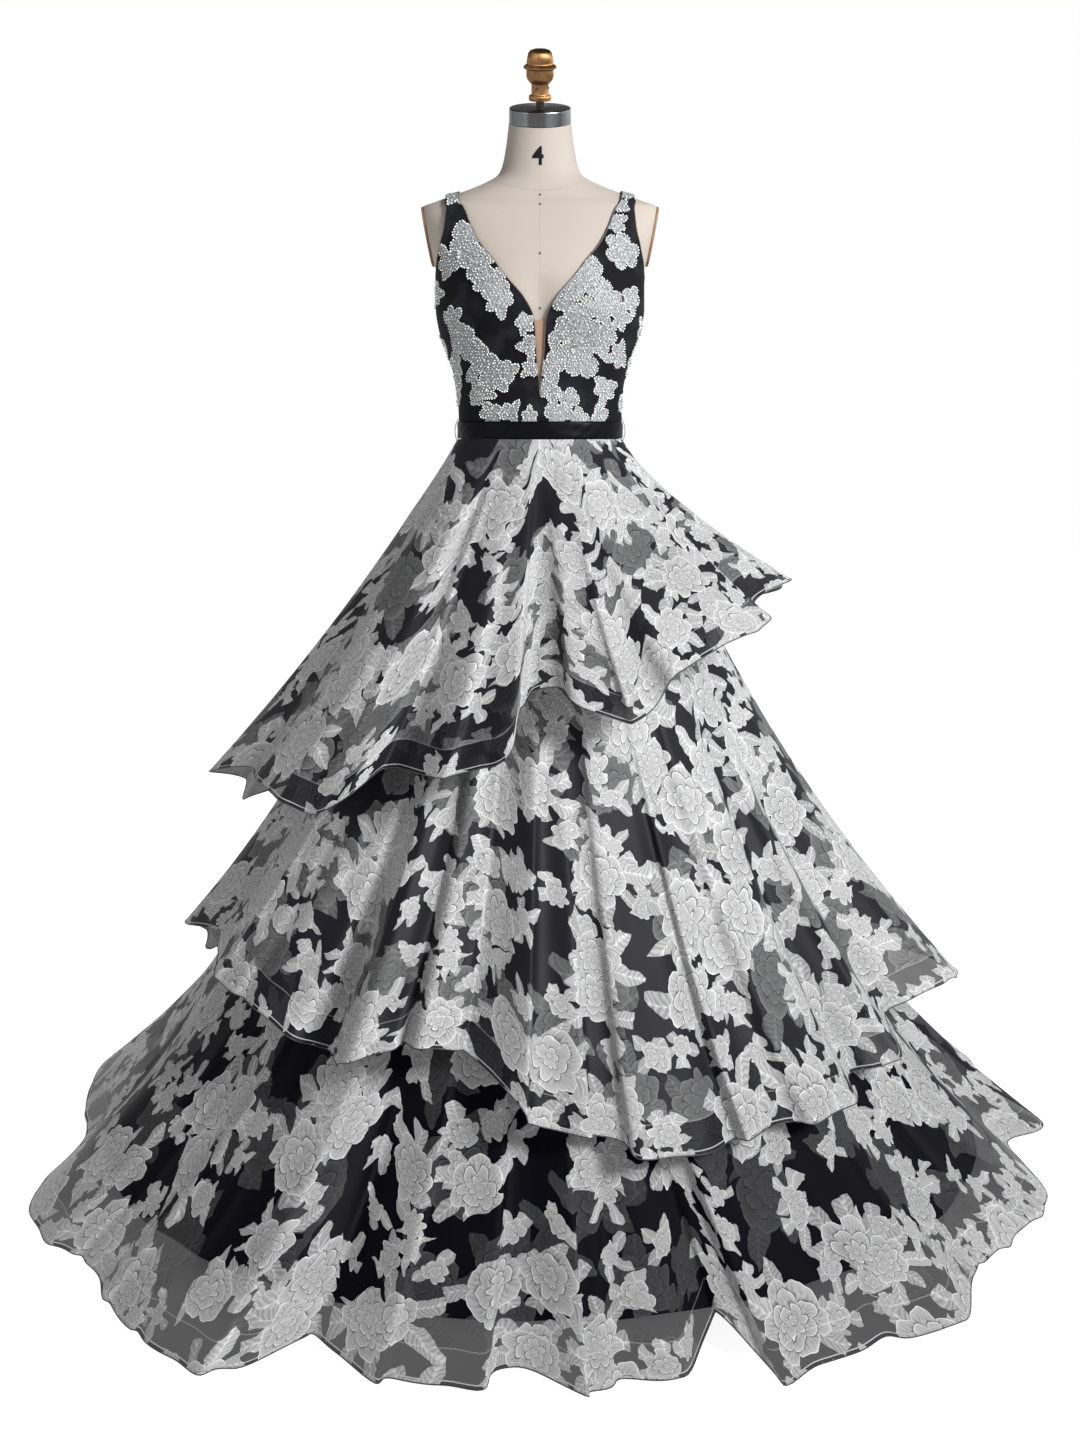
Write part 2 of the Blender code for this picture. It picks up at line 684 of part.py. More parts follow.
def build_insert():
    """The mesh piece that fills the foot of the V, laid on the torso under the panels' edges."""
    neck = [(row.neck_x, row.neck_z) for row in BODICE_FRONT]
    across = np.linspace(-1, 1, INSERT_COLS)
    rings = []
    for z in np.linspace(INSERT_LOW, INSERT_HIGH, INSERT_ROWS):
        half = float(monotone([h for _, h in neck], [x for x, _ in neck], z)) + INSERT_UNDERLAP
        rings.append([torso_point(z, f * azimuth_of(half, z), INSERT_GAP) for f in across])
    form, _ = sheet(rings, closed=False)
    add_wall("mesh_insert", form, "nude_mesh", INSERT_WALL, 1.0)


def build_belt():
    """The flat satin belt round the waist, over the foot of the bodice and the top of the skirt."""
    azimuths = np.linspace(-180, 180, BELT_SIDES, endpoint=False)
    rings = []
    for z in (WAIST - BELT_HEIGHT / 2, WAIST + BELT_HEIGHT / 2):
        rings.append([torso_point(z, a, BELT_GAP) for a in azimuths])
    form, _ = sheet(rings, closed=True)
    add_wall("waist_belt", form, "belt_satin", BELT_WALL, 1.0)


def build_lining():
    """The plain cone of lining that stands under the tiers."""
    azimuths = np.linspace(-180, 180, LINING_SIDES, endpoint=False)
    heights = [row.z for row in CONE if row.z >= LINING_HEM]
    rings = [[place(float(cone_radius(z, a)), a, z) for a in azimuths] for z in heights]
    form, _ = sheet(rings, closed=True)
    add_wall("skirt_lining", form, "lining_satin", WALL, -1.0)


def build_tiers():
    """The three sheer tiers, each a flared wall with its own wave at the hem."""
    for name, tier in TIERS.items():
        form, _ = sheet(tier_grid(tier), closed=True)
        add_wall(name, form, "printed_organza", WALL, -1.0)


def main():
    for old in list(bpy.data.objects):
        bpy.data.objects.remove(old, do_unlink=True)
    build_form()
    cap_top = NECK_TOP + CAP_PROFILE[0][1] + 2 * SEAM
    add_turned("neck_cap", CAP_PROFILE, "brushed_steel", CAP_SIDES, NECK_TOP + SEAM, NECK_TILT)
    add_turned("finial", FINIAL_PROFILE, "old_brass", FINIAL_SIDES, cap_top, NECK_TILT)
    add_turned("stand_pole", POLE_PROFILE, "stand_paint", POLE_SIDES)
    add_turned("stand_base", BASE_PROFILE, "stand_paint", BASE_SIDES)
    build_panel("bodice_front_left", BODICE_FRONT, 1, False, FRONT_LEFT_FLOWERS)
    build_panel("bodice_front_right", BODICE_FRONT, -1, False, FRONT_RIGHT_FLOWERS)
    build_panel("bodice_back_left", BODICE_BACK, 1, True, BACK_FLOWERS)
    build_panel("bodice_back_right", BODICE_BACK, -1, True, BACK_FLOWERS)
    build_insert()
    build_belt()
    build_lining()
    build_tiers()


main()
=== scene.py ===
"""Looks of the prom dress on its dress form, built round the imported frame.

The gown is remade as thin cloth on the form of its solids: three sheer printed tiers with soft flutes, a
black lining, a velvet bodice with raised lace flowers and beads, and a satin belt. The form is a padded torso
covered in linen, with a steel neck cap, a brass finial, board arm plates and a plain size number.

Metres, +Z up. The front faces -Y and the wearer's left is +X. An azimuth is measured from the front, in
degrees, and grows towards +X.
"""

import logging
from collections.abc import Iterator, Sequence
from contextlib import contextmanager
from dataclasses import dataclass, replace
from enum import Enum
from math import pi, radians
from typing import Any, NamedTuple

import bmesh
import bpy
import numpy as np
from mathutils import Matrix, Vector


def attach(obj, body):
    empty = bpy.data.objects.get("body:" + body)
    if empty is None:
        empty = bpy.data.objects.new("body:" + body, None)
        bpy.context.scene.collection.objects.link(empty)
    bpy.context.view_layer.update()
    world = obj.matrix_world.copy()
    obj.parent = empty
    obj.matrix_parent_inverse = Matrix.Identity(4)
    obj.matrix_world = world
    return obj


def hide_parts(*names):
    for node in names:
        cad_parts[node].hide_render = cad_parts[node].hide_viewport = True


LOG = logging.getLogger("prom_dress")
ROOT = "root"

Array = np.ndarray
Color = tuple[float, float, float]
Profile = Sequence[tuple[float, float]]

WHITE: Color = (1.0, 1.0, 1.0)
CORD_SIDES = 6
MERGE = 1e-5
MERGE_FINE = 1e-6

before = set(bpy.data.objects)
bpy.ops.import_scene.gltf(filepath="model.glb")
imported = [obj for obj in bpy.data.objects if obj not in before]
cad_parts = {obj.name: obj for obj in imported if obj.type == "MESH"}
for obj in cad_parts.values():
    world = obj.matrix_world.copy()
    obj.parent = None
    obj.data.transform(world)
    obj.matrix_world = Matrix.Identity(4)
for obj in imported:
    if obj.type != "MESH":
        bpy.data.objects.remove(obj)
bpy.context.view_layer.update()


class TorsoRow(NamedTuple):
    """A section of the torso: its height, half width, depths and squareness."""

    z: float
    side: float
    front: float
    back: float
    square: float


class EdgeRow(NamedTuple):
    """Where a bodice panel's neck edge and arm edge pass; side is true at the side seam."""

    neck_x: float
    neck_z: float
    arm_x: float
    arm_z: float
    side: bool


class ConeRow(NamedTuple):
    """The lining's radius at a height."""

    z: float
    radius: float


class HemRow(NamedTuple):
    """A crest or a hollow of a hem."""

    azimuth: float
    radius: float
    z: float


class Crease(NamedTuple):
    """A flute of a tier: its place and size at the hem, where it starts, and the lean of its top towards +X.

    It falls over towards the side that its top leans to.
    """

    azimuth: float
    width: float
    height: float
    start: float
    lean: float


class Motif(NamedTuple):
    """A lace flower on a bodice panel: distance along the cloth from the centre, height, reach and petals."""

    s: float
    z: float
    reach: float
    petals: int


TORSO = [
    TorsoRow(*row)
    for row in (
        (0.780, 0.1500, 0.1050, 0.1180, 2.2), (0.860, 0.1650, 0.1120, 0.1280, 2.2),
        (0.930, 0.1660, 0.1150, 0.1220, 2.2), (1.000, 0.1550, 0.1120, 0.1080, 2.2),
        (1.060, 0.1370, 0.1020, 0.0930, 2.1), (1.092, 0.1265, 0.0950, 0.0850, 2.1),
        (1.125, 0.1220, 0.0920, 0.0820, 2.1), (1.180, 0.1240, 0.0960, 0.0840, 2.1),
        (1.240, 0.1385, 0.1080, 0.0900, 2.2), (1.280, 0.1525, 0.1200, 0.0950, 2.2),
        (1.310, 0.1565, 0.1250, 0.0980, 2.2), (1.350, 0.1560, 0.1230, 0.1010, 2.3),
        (1.385, 0.1660, 0.1120, 0.1040, 2.4), (1.420, 0.1790, 0.0970, 0.1020, 2.5),
        (1.445, 0.1860, 0.0840, 0.0960, 2.5), (1.458, 0.1830, 0.0770, 0.0900, 2.4),
        (1.468, 0.1590, 0.0700, 0.0830, 2.3), (1.478, 0.1310, 0.0650, 0.0760, 2.2),
        (1.488, 0.1030, 0.0610, 0.0690, 2.1), (1.498, 0.0800, 0.0580, 0.0640, 2.0),
        (1.508, 0.0640, 0.0560, 0.0600, 2.0), (1.525, 0.0565, 0.0530, 0.0560, 2.0),
        (1.550, 0.0515, 0.0495, 0.0520, 2.0), (1.585, 0.0470, 0.0470, 0.0470, 2.0),
    )
]

BODICE_FRONT = [
    EdgeRow(*row)
    for row in (
        (0.0002, 1.1115, 0.1220, 1.1115, True), (0.0002, 1.150, 0.1220, 1.150, True),
        (0.0006, 1.186, 0.1250, 1.186, True), (0.0055, 1.236, 0.1380, 1.233, True),
        (0.0098, 1.286, 0.1520, 1.282, True), (0.0240, 1.317, 0.1560, 1.316, True),
        (0.0440, 1.342, 0.1560, 1.345, True), (0.0660, 1.370, 0.1540, 1.364, False),
        (0.0870, 1.396, 0.1485, 1.392, False), (0.1020, 1.424, 0.1420, 1.420, False),
        (0.1140, 1.452, 0.1395, 1.447, False),
    )
]
BODICE_BACK = [
    EdgeRow(*row)
    for row in (
        (0.0002, 1.1115, 0.1220, 1.1115, True), (0.0002, 1.150, 0.1220, 1.150, True),
        (0.0002, 1.200, 0.1250, 1.195, True), (0.0002, 1.240, 0.1380, 1.235, True),
        (0.0120, 1.270, 0.1520, 1.272, True), (0.0300, 1.300, 0.1560, 1.310, True),
        (0.0480, 1.330, 0.1560, 1.345, True), (0.0660, 1.362, 0.1540, 1.366, False),
        (0.0830, 1.394, 0.1485, 1.395, False), (0.0980, 1.424, 0.1430, 1.424, False),
        (0.1110, 1.450, 0.1405, 1.449, False),
    )
]
STRAP_AZIMUTHS = (71.0, 77.0, 82.0, 86.0, 89.93)

# Lace flowers of the two front panels, each in a layout of its own, and of both back panels.
LACE_FRONT_RIGHT = [
    Motif(*row)
    for row in (
        (0.125, 1.405, 0.021, 5), (0.098, 1.372, 0.026, 6), (0.072, 1.338, 0.021, 5),
        (0.186, 1.330, 0.016, 5), (0.142, 1.290, 0.017, 5), (0.124, 1.258, 0.024, 6),
        (0.094, 1.228, 0.022, 5), (0.026, 1.282, 0.014, 5), (0.020, 1.250, 0.013, 4),
        (0.016, 1.218, 0.013, 5), (0.082, 1.150, 0.016, 5), (0.050, 1.152, 0.014, 4),
        (0.018, 1.146, 0.012, 5), (0.190, 1.250, 0.017, 5), (0.160, 1.190, 0.020, 6),
        (0.128, 1.470, 0.009, 4), (0.148, 1.372, 0.018, 5), (0.062, 1.312, 0.017, 5),
        (0.074, 1.204, 0.020, 5), (0.100, 1.182, 0.017, 5), (0.052, 1.214, 0.014, 4),
        (0.148, 1.228, 0.015, 5), (0.152, 1.466, 0.010, 4),
    )
]
LACE_FRONT_LEFT = [
    Motif(*row)
    for row in (
        (0.150, 1.474, 0.010, 5), (0.134, 1.428, 0.013, 4), (0.134, 1.386, 0.023, 6),
        (0.074, 1.346, 0.025, 6), (0.042, 1.318, 0.020, 5), (0.098, 1.312, 0.026, 6),
        (0.058, 1.276, 0.027, 7), (0.096, 1.262, 0.024, 5), (0.034, 1.236, 0.020, 5),
        (0.068, 1.228, 0.023, 6), (0.150, 1.318, 0.018, 5), (0.192, 1.275, 0.015, 5),
        (0.180, 1.225, 0.018, 5), (0.160, 1.165, 0.017, 5), (0.108, 1.186, 0.017, 5),
        (0.100, 1.148, 0.014, 4), (0.016, 1.186, 0.016, 5), (0.030, 1.148, 0.020, 6),
        (0.064, 1.142, 0.015, 5), (0.014, 1.216, 0.016, 5), (0.048, 1.172, 0.015, 4),
        (0.126, 1.292, 0.018, 5), (0.130, 1.238, 0.016, 5), (0.150, 1.452, 0.009, 4),
    )
]
LACE_BACK = [
    Motif(*row)
    for row in (
        (0.120, 1.420, 0.018, 5), (0.100, 1.372, 0.024, 6), (0.066, 1.330, 0.022, 5),
        (0.110, 1.322, 0.025, 6), (0.150, 1.290, 0.018, 5), (0.070, 1.272, 0.023, 6),
        (0.030, 1.240, 0.017, 5), (0.110, 1.232, 0.022, 5), (0.050, 1.200, 0.022, 6),
        (0.150, 1.200, 0.018, 5), (0.090, 1.160, 0.018, 5), (0.024, 1.152, 0.017, 5),
        (0.138, 1.148, 0.015, 4),
    )
]

CONE = [
    ConeRow(*row)
    for row in (
        (0.000, 0.7180), (0.015, 0.7080), (0.100, 0.6380), (0.200, 0.5650), (0.300, 0.5070),
        (0.440, 0.4410), (0.620, 0.3580), (0.800, 0.2770), (0.920, 0.2220), (1.000, 0.1840),
        (1.060, 0.1510), (1.1112, 0.1225),
    )
]
HEM_1 = [
    HemRow(*row)
    for row in (
        (-178, 0.400, 0.640), (-165, 0.500, 0.600), (-150, 0.410, 0.595), (-136, 0.520, 0.550),
        (-122, 0.430, 0.540), (-108, 0.530, 0.500), (-95, 0.485, 0.560), (-80, 0.525, 0.600),
        (-66, 0.470, 0.625), (-50, 0.500, 0.615), (-39, 0.505, 0.600), (-33, 0.410, 0.655),
        (-17, 0.445, 0.662), (-10, 0.435, 0.675), (-4, 0.370, 0.745), (5, 0.355, 0.772),
        (17, 0.430, 0.732), (30, 0.402, 0.797), (43, 0.410, 0.833), (56, 0.405, 0.852),
        (64, 0.355, 0.872), (76, 0.395, 0.900), (92, 0.365, 0.900), (107, 0.415, 0.865),
        (122, 0.370, 0.830), (138, 0.440, 0.775), (153, 0.385, 0.735), (168, 0.465, 0.685),
    )
]
HEM_2 = [
    HemRow(*row)
    for row in (
        (-179, 0.580, 0.270), (-166, 0.645, 0.250), (-152, 0.565, 0.270), (-138, 0.635, 0.240),
        (-124, 0.560, 0.250), (-110, 0.615, 0.220), (-96, 0.565, 0.300), (-80, 0.570, 0.360),
        (-66, 0.530, 0.375), (-50, 0.590, 0.350), (-40, 0.600, 0.335), (-32, 0.560, 0.290),
        (-23, 0.640, 0.312), (-19, 0.575, 0.325), (-15, 0.612, 0.332), (-11, 0.560, 0.318),
        (-7, 0.585, 0.300), (-2, 0.642, 0.255), (8, 0.632, 0.226), (18, 0.662, 0.203), (29, 0.640, 0.214),
        (41, 0.655, 0.216), (47, 0.600, 0.228), (52, 0.650, 0.245), (57, 0.600, 0.290),
        (66, 0.660, 0.315), (78, 0.668, 0.290), (92, 0.600, 0.280), (106, 0.670, 0.250),
        (120, 0.590, 0.270), (134, 0.660, 0.240), (149, 0.580, 0.270), (165, 0.655, 0.250),
    )
]
HEM_3 = [
    HemRow(*row)
    for row in (
        (-178, 0.785, 0.024), (-165, 0.865, 0.004), (-150, 0.765, 0.026), (-136, 0.855, 0.004),
        (-122, 0.755, 0.026), (-108, 0.815, 0.004), (-95, 0.775, 0.006), (-79, 0.735, 0.022),
        (-62, 0.835, 0.004), (-48, 0.822, 0.008), (-37, 0.875, 0.004), (-30, 0.897, 0.004),
        (-25, 0.882, 0.004), (-21, 0.802, 0.014), (-14, 0.834, 0.004), (-9, 0.845, 0.004),
        (-2, 0.810, 0.012), (4, 0.850, 0.004), (12, 0.836, 0.004), (16, 0.785, 0.050), (20, 0.862, 0.004),
        (28, 0.858, 0.004), (37, 0.872, 0.004), (45, 0.825, 0.018), (53, 0.812, 0.012),
        (66, 0.822, 0.004), (76, 0.755, 0.024), (86, 0.825, 0.004), (97, 0.765, 0.018),
        (108, 0.810, 0.004), (121, 0.760, 0.026), (135, 0.855, 0.004), (151, 0.770, 0.026),
        (166, 0.850, 0.004),
    )
]

# Flutes of each tier's front half. The back half gets the same ones turned round and resized a little.
FLUTES_1 = [
    Crease(*row)
    for row in (
        (-84, 0.034, 0.012, 0.25, 2.0), (-71, 0.026, 0.010, 0.45, -3.0), (-60, 0.040, 0.016, 0.10, 6.0),
        (-47, 0.024, 0.009, 0.35, 4.0), (-36, 0.020, 0.014, 0.05, 8.0), (-27, 0.030, -0.008, 0.30, 3.0),
        (-19, 0.022, 0.010, 0.20, 5.0), (-8, 0.017, 0.011, 0.05, 2.0), (1, 0.022, -0.008, 0.35, 0.0),
        (10, 0.024, 0.012, 0.15, -3.0), (19, 0.016, 0.010, 0.30, -4.0), (29, 0.028, 0.013, 0.05, -6.0),
        (40, 0.022, -0.007, 0.30, -3.0), (49, 0.020, 0.011, 0.20, -5.0), (61, 0.026, 0.012, 0.10, -6.0),
        (74, 0.020, 0.010, 0.35, -2.0), (86, 0.024, 0.011, 0.20, 0.0),
    )
]
FLUTES_2 = [
    Crease(*row)
    for row in (
        (-88, 0.030, 0.012, 0.15, 1.0), (-76, 0.024, 0.013, 0.05, 3.0), (-62, 0.030, 0.015, 0.20, 4.0),
        (-53, 0.018, 0.010, 0.05, 3.0), (-44, 0.022, -0.009, 0.30, 2.0), (-36, 0.020, 0.014, 0.02, 4.0),
        (-27, 0.018, 0.012, 0.10, 3.0), (-20, 0.012, 0.008, 0.35, 2.0), (-12, 0.012, 0.007, 0.30, 2.0),
        (-4, 0.024, 0.013, 0.05, 2.0), (4, 0.017, 0.010, 0.25, 0.0), (13, 0.026, 0.014, 0.02, -1.0),
        (22, 0.018, -0.010, 0.30, -1.0), (26, 0.018, 0.011, 0.10, -3.0), (35, 0.026, 0.015, 0.02, -3.0),
        (44, 0.016, 0.009, 0.35, -2.0), (51, 0.012, -0.006, 0.15, -3.0), (60, 0.026, 0.013, 0.05, -4.0),
        (71, 0.020, 0.011, 0.20, -2.0), (83, 0.026, 0.013, 0.05, -1.0),
    )
]
FLUTES_3 = [
    Crease(*row)
    for row in (
        (-86, 0.032, 0.013, 0.15, 1.0), (-70, 0.026, 0.013, 0.05, 2.0), (-56, 0.032, 0.014, 0.10, 3.0),
        (-43, 0.022, 0.012, 0.02, 3.0), (-50, 0.014, -0.007, 0.15, 3.0), (-35, 0.014, -0.006, 0.30, 2.0),
        (-28, 0.022, 0.012, 0.10, 2.0), (-20, 0.016, -0.009, 0.30, 2.0), (-15, 0.024, 0.014, 0.02, 2.0),
        (-6, 0.020, 0.012, 0.10, 1.0), (8, 0.026, -0.010, 0.25, 0.0), (2, 0.020, 0.013, 0.02, 0.0),
        (15, 0.014, -0.008, 0.30, -1.0), (21, 0.020, 0.015, 0.02, -4.0), (30, 0.026, -0.010, 0.20, -2.0),
        (40, 0.030, 0.014, 0.10, -2.0), (46, 0.012, -0.006, 0.20, -2.0), (53, 0.020, 0.012, 0.05, -2.0),
        (62, 0.026, 0.013, 0.20, -2.0), (73, 0.022, 0.011, 0.05, -1.0), (86, 0.030, 0.013, 0.15, 0.0),
    )
]


def monotone(knots: Sequence[float], values: Sequence[float], at: Array) -> Array:
    """Read a smooth curve through the knots that never overshoots between them.

    Args:
        knots: Growing places along the curve.
        values: The curve's value at each knot.
        at: Where to read it.

    Returns:
        The curve's values there.
    """
    knots, values, at = (np.asarray(item, float) for item in (knots, values, at))
    width = np.diff(knots)
    slope = np.diff(values) / width
    tangent = np.zeros_like(values)
    tangent[0], tangent[-1] = slope[0], slope[-1]
    for i in range(1, len(knots) - 1):
        if slope[i - 1] * slope[i] > 0:
            left = 2 * width[i] + width[i - 1]
            right = width[i] + 2 * width[i - 1]
            tangent[i] = (left + right) / (left / slope[i - 1] + right / slope[i])
    k = np.clip(np.searchsorted(knots, at, side="right") - 1, 0, len(width) - 1)
    t = np.clip((at - knots[k]) / width[k], 0.0, 1.0)
    rise = (3 - 2 * t) * t * t
    start = t * (1 - t) ** 2 * width[k] * tangent[k]
    end = t * t * (t - 1) * width[k] * tangent[k + 1]
    return values[k] * (1 - rise) + values[k + 1] * rise + start + end


def smooth_step(low: float, high: float, at: Array | float) -> Array:
    """Ease from 0 at low to 1 at high."""
    t = np.clip((np.asarray(at, float) - low) / (high - low), 0.0, 1.0)
    return t * t * (3 - 2 * t)


def column(rows: Sequence[NamedTuple], name: str) -> list[float]:
    """One named column of a table."""
    return [getattr(row, name) for row in rows]


def place(radius: Array, azimuth: Array, z: Array) -> Array:
    """Points at a radius and azimuth, at height z, as rows of x, y, z."""
    turn = np.radians(azimuth)
    radius, turn, z = np.broadcast_arrays(radius, turn, z)
    return np.stack([radius * np.sin(turn), -radius * np.cos(turn), z], axis=-1)


def unit(vectors: Array) -> Array:
    """The vectors at length 1."""
    return vectors / np.maximum(np.linalg.norm(vectors, axis=-1, keepdims=True), 1e-12)


@dataclass(frozen=True)
class TorsoShape:
    """The torso's surface, which the bodice and the belt lie on."""

    bust_height: float = 1.305
    bust_spread: float = 0.042
    bust_azimuth: float = 33.0
    bust_width: float = 17.0
    bust_rise: float = 0.014
    bust_dip: float = 0.006
    bust_dip_width: float = 10.2
    step_z: float = 0.002
    step_turn: float = 1.5
    neck_top: float = 1.585
    tilt: float = 19.0
    tilt_from: float = 1.530
    shoulder_low: float = 1.43
    shoulder_high: float = 1.53

    def neck_frame(self) -> Matrix:
        """Place and turn of the middle of the tilted neck's top."""
        return Matrix.Translation((0.0, 0.0, self.neck_top)) @ Matrix.Rotation(radians(self.tilt), 4, "X")

    def tilted(self, points: Array) -> Array:
        """The points with their share of the neck's forward tilt."""
        share = smooth_step(self.tilt_from, self.neck_top, points[..., 2])
        leaned = points.copy()
        leaned[..., 1] *= 1 - share * (1 - np.cos(radians(self.tilt)))
        leaned[..., 2] += points[..., 1] * np.sin(radians(self.tilt)) * share
        return leaned

    def size(self, name: str, z: Array | float) -> Array:
        """A size of the torso's section at a height."""
        return monotone(column(TORSO, "z"), column(TORSO, name), z)

    def radius(self, z: Array, azimuth: Array) -> Array:
        """Distance of the surface from the pole's axis."""
        turn = np.radians(azimuth)
        depth = np.where(np.cos(turn) > 0, self.size("front", z), self.size("back", z))
        power = self.size("square", z)
        across = (np.abs(np.sin(turn)) / self.size("side", z)) ** power
        along = (np.abs(np.cos(turn)) / depth) ** power
        off_centre = (np.abs(azimuth) - self.bust_azimuth) / self.bust_width
        level = np.exp(-(((z - self.bust_height) / self.bust_spread) ** 2))
        dip = self.bust_dip * np.exp(-((azimuth / self.bust_dip_width) ** 2))
        crown = self.bust_rise * np.exp(-(off_centre**2)) - dip
        return (across + along) ** (-1 / power) + crown * level

    def normal(self, z: Array, azimuth: Array) -> Array:
        """Outward normals of the surface."""
        up = place(self.radius(z + self.step_z, azimuth), azimuth, z + self.step_z)
        down = place(self.radius(z - self.step_z, azimuth), azimuth, z - self.step_z)
        ahead, behind = azimuth + self.step_turn, azimuth - self.step_turn
        ahead = place(self.radius(z, ahead), ahead, z)
        behind = place(self.radius(z, behind), behind, z)
        return unit(np.cross(ahead - behind, up - down))

    def point(self, z: Array, azimuth: Array, lift: Array | float = 0.0) -> Array:
        """Points of the surface, moved out along its normals.

        Args:
            z: Heights.
            azimuth: Azimuths, in degrees.
            lift: How far the points stand off the surface.

        Returns:
            Rows of x, y, z.
        """
        z, azimuth = np.broadcast_arrays(np.asarray(z, float), np.asarray(azimuth, float))
        lift = np.broadcast_to(lift, z.shape)
        surface = place(self.radius(z, azimuth), azimuth, z)
        return self.tilted(surface + self.normal(z, azimuth) * lift[..., None])

    def quarter_girth(self, z: Array | float) -> Array:
        """Length along the surface from the middle of the front to the side seam."""
        return pi / 2 * np.sqrt((self.size("side", z) ** 2 + self.size("front", z) ** 2) / 2)

    def azimuth_of(self, x: float, z: float, face: str) -> float:
        """Turn from the middle of a face to the point that lies x from the centre at height z."""
        side, power = float(self.size("side", z)), float(self.size("square", z))
        depth = float(self.size(face, z)) * max(1 - min(x / side, 1.0) ** power, 0.0) ** (1 / power)
        return float(np.degrees(np.arctan2(x, depth)))

    def shoulder_height(self, x: float, azimuth: float) -> float:
        """Height at which the upper surface passes x from the centre at an azimuth."""
        heights = np.linspace(self.shoulder_low, self.shoulder_high, 2001)
        reach = self.radius(heights, np.full_like(heights, azimuth)) * np.sin(np.radians(azimuth))
        return float(heights[np.argmax(reach < x)])


@dataclass(frozen=True)
class SkirtShape:
    """The lining's cone, and the tiers that flare out of it."""

    top: float = 1.1112
    round_to: float = 0.920
    lining_gap: float = 0.0010
    wall: float = 0.0012
    flare_blur: float = 34.0

    def cone(self, z: Array, azimuth: Array) -> Array:
        """Radius of the lining's outer face: the waist's oval at the top, round below the hips."""
        waist = BODY.radius(np.full_like(azimuth, self.top), azimuth) + self.lining_gap + self.wall
        cone = np.interp(z, column(CONE, "z"), column(CONE, "radius"))
        roundness = smooth_step(0.0, 1.0, (self.top - z) / (self.top - self.round_to))
        oval = waist + cone - CONE[-1].radius
        return oval * (1 - roundness) + (cone + self.lining_gap + self.wall) * roundness

    def around(self, rows: Sequence[HemRow], name: str, azimuth: Array) -> Array:
        """A hem's named size at an azimuth, read right round."""
        turns = np.array(column(rows, "azimuth"), float)
        knots = np.concatenate([turns - 360, turns, turns + 360])
        return monotone(knots, np.tile(column(rows, name), 3), azimuth)

    def mean_hem(self, rows: Sequence[HemRow], azimuth: Array) -> Array:
        """The hem's radius with its folds averaged out."""
        turns = np.linspace(-180, 180, 360, endpoint=False)
        sizes = self.around(rows, "radius", turns)
        apart = (azimuth[..., None] - turns + 180) % 360 - 180
        weight = np.exp(-((apart / self.flare_blur) ** 2))
        return (weight * sizes).sum(-1) / weight.sum(-1)


BODY = TorsoShape()
SKIRT = SkirtShape()


@contextmanager
def editing(mesh: bpy.types.Mesh) -> Iterator[bmesh.types.BMesh]:
    """Open a mesh for bmesh operators, and write it back at the end.

    Args:
        mesh: The mesh; a new one starts empty.

    Yields:
        Its bmesh.
    """
    form = bmesh.new()
    form.from_mesh(mesh)
    yield form
    form.to_mesh(mesh)
    form.free()


def lay_grid(
    name: str,
    points: Array,
    cut: Array | None = None,
    weights: dict[str, Array] | None = None,
    merge: bool = False,
) -> bpy.types.Mesh:
    """Lay a flat bmesh grid along given points.

    Args:
        name: The mesh's name.
        points: An array of rows by columns by x, y, z; columns run round the piece and rows run up it.
        cut: Flat cloth coordinates of the same rows and columns, kept as the UV map "cut".
        weights: Named values of each point, kept as attributes.
        merge: Whether edges that meet are joined.

    Returns:
        The mesh, shaded smooth.
    """
    rows, columns = points.shape[0] - 1, points.shape[1] - 1
    mesh = bpy.data.meshes.new(name)
    with editing(mesh) as form:
        bmesh.ops.create_grid(form, x_segments=columns, y_segments=rows, size=0.5)
    flat = np.empty(len(mesh.vertices) * 3)
    mesh.vertices.foreach_get("co", flat)
    flat = flat.reshape(-1, 3)
    across = np.rint((flat[:, 0] + 0.5) * columns).astype(int)
    up = np.rint((flat[:, 1] + 0.5) * rows).astype(int)
    mesh.vertices.foreach_set("co", points[up, across].ravel())
    if cut is not None:
        corners = np.empty(len(mesh.loops), dtype=np.int32)
        mesh.loops.foreach_get("vertex_index", corners)
        layer = mesh.uv_layers.new(name="cut")
        layer.data.foreach_set("uv", cut[up, across][corners].ravel())
    for key, values in (weights or {}).items():
        mesh.attributes.new(key, "FLOAT", "POINT").data.foreach_set("value", values[up, across].ravel())
    if merge:
        with editing(mesh) as form:
            bmesh.ops.remove_doubles(form, verts=form.verts, dist=MERGE)
    mesh.update()
    mesh.shade_smooth()
    return mesh


def tube(name: str, path: Array, radius: float, closed: bool) -> bpy.types.Mesh:
    """Make a round cord along a path.

    Args:
        name: The mesh's name.
        path: Points along the cord's middle; a closed one doesn't repeat its first point.
        radius: The cord's radius.
        closed: Whether the path runs on into its own start.

    Returns:
        The mesh, closed at its ends.
    """
    if closed:
        path = np.vstack([path, path[:1]])
        along = unit(np.roll(path[:-1], -1, axis=0) - np.roll(path[:-1], 1, axis=0))
        along = np.vstack([along, along[:1]])
    else:
        along = unit(np.gradient(path, axis=0))
    out = path * (1.0, 1.0, 0.0)
    out = unit(out - (out * along).sum(-1, keepdims=True) * along)
    up = np.cross(along, out)
    turns = np.linspace(0, 2 * pi, CORD_SIDES + 1)
    section = [path + radius * (np.cos(t) * out + np.sin(t) * up) for t in turns]
    mesh = lay_grid(name, np.array(section)[::-1], merge=True)
    with editing(mesh) as form:
        if not closed:
            bmesh.ops.holes_fill(form, edges=[edge for edge in form.edges if edge.is_boundary])
        bmesh.ops.recalc_face_normals(form, faces=form.faces)
    return mesh


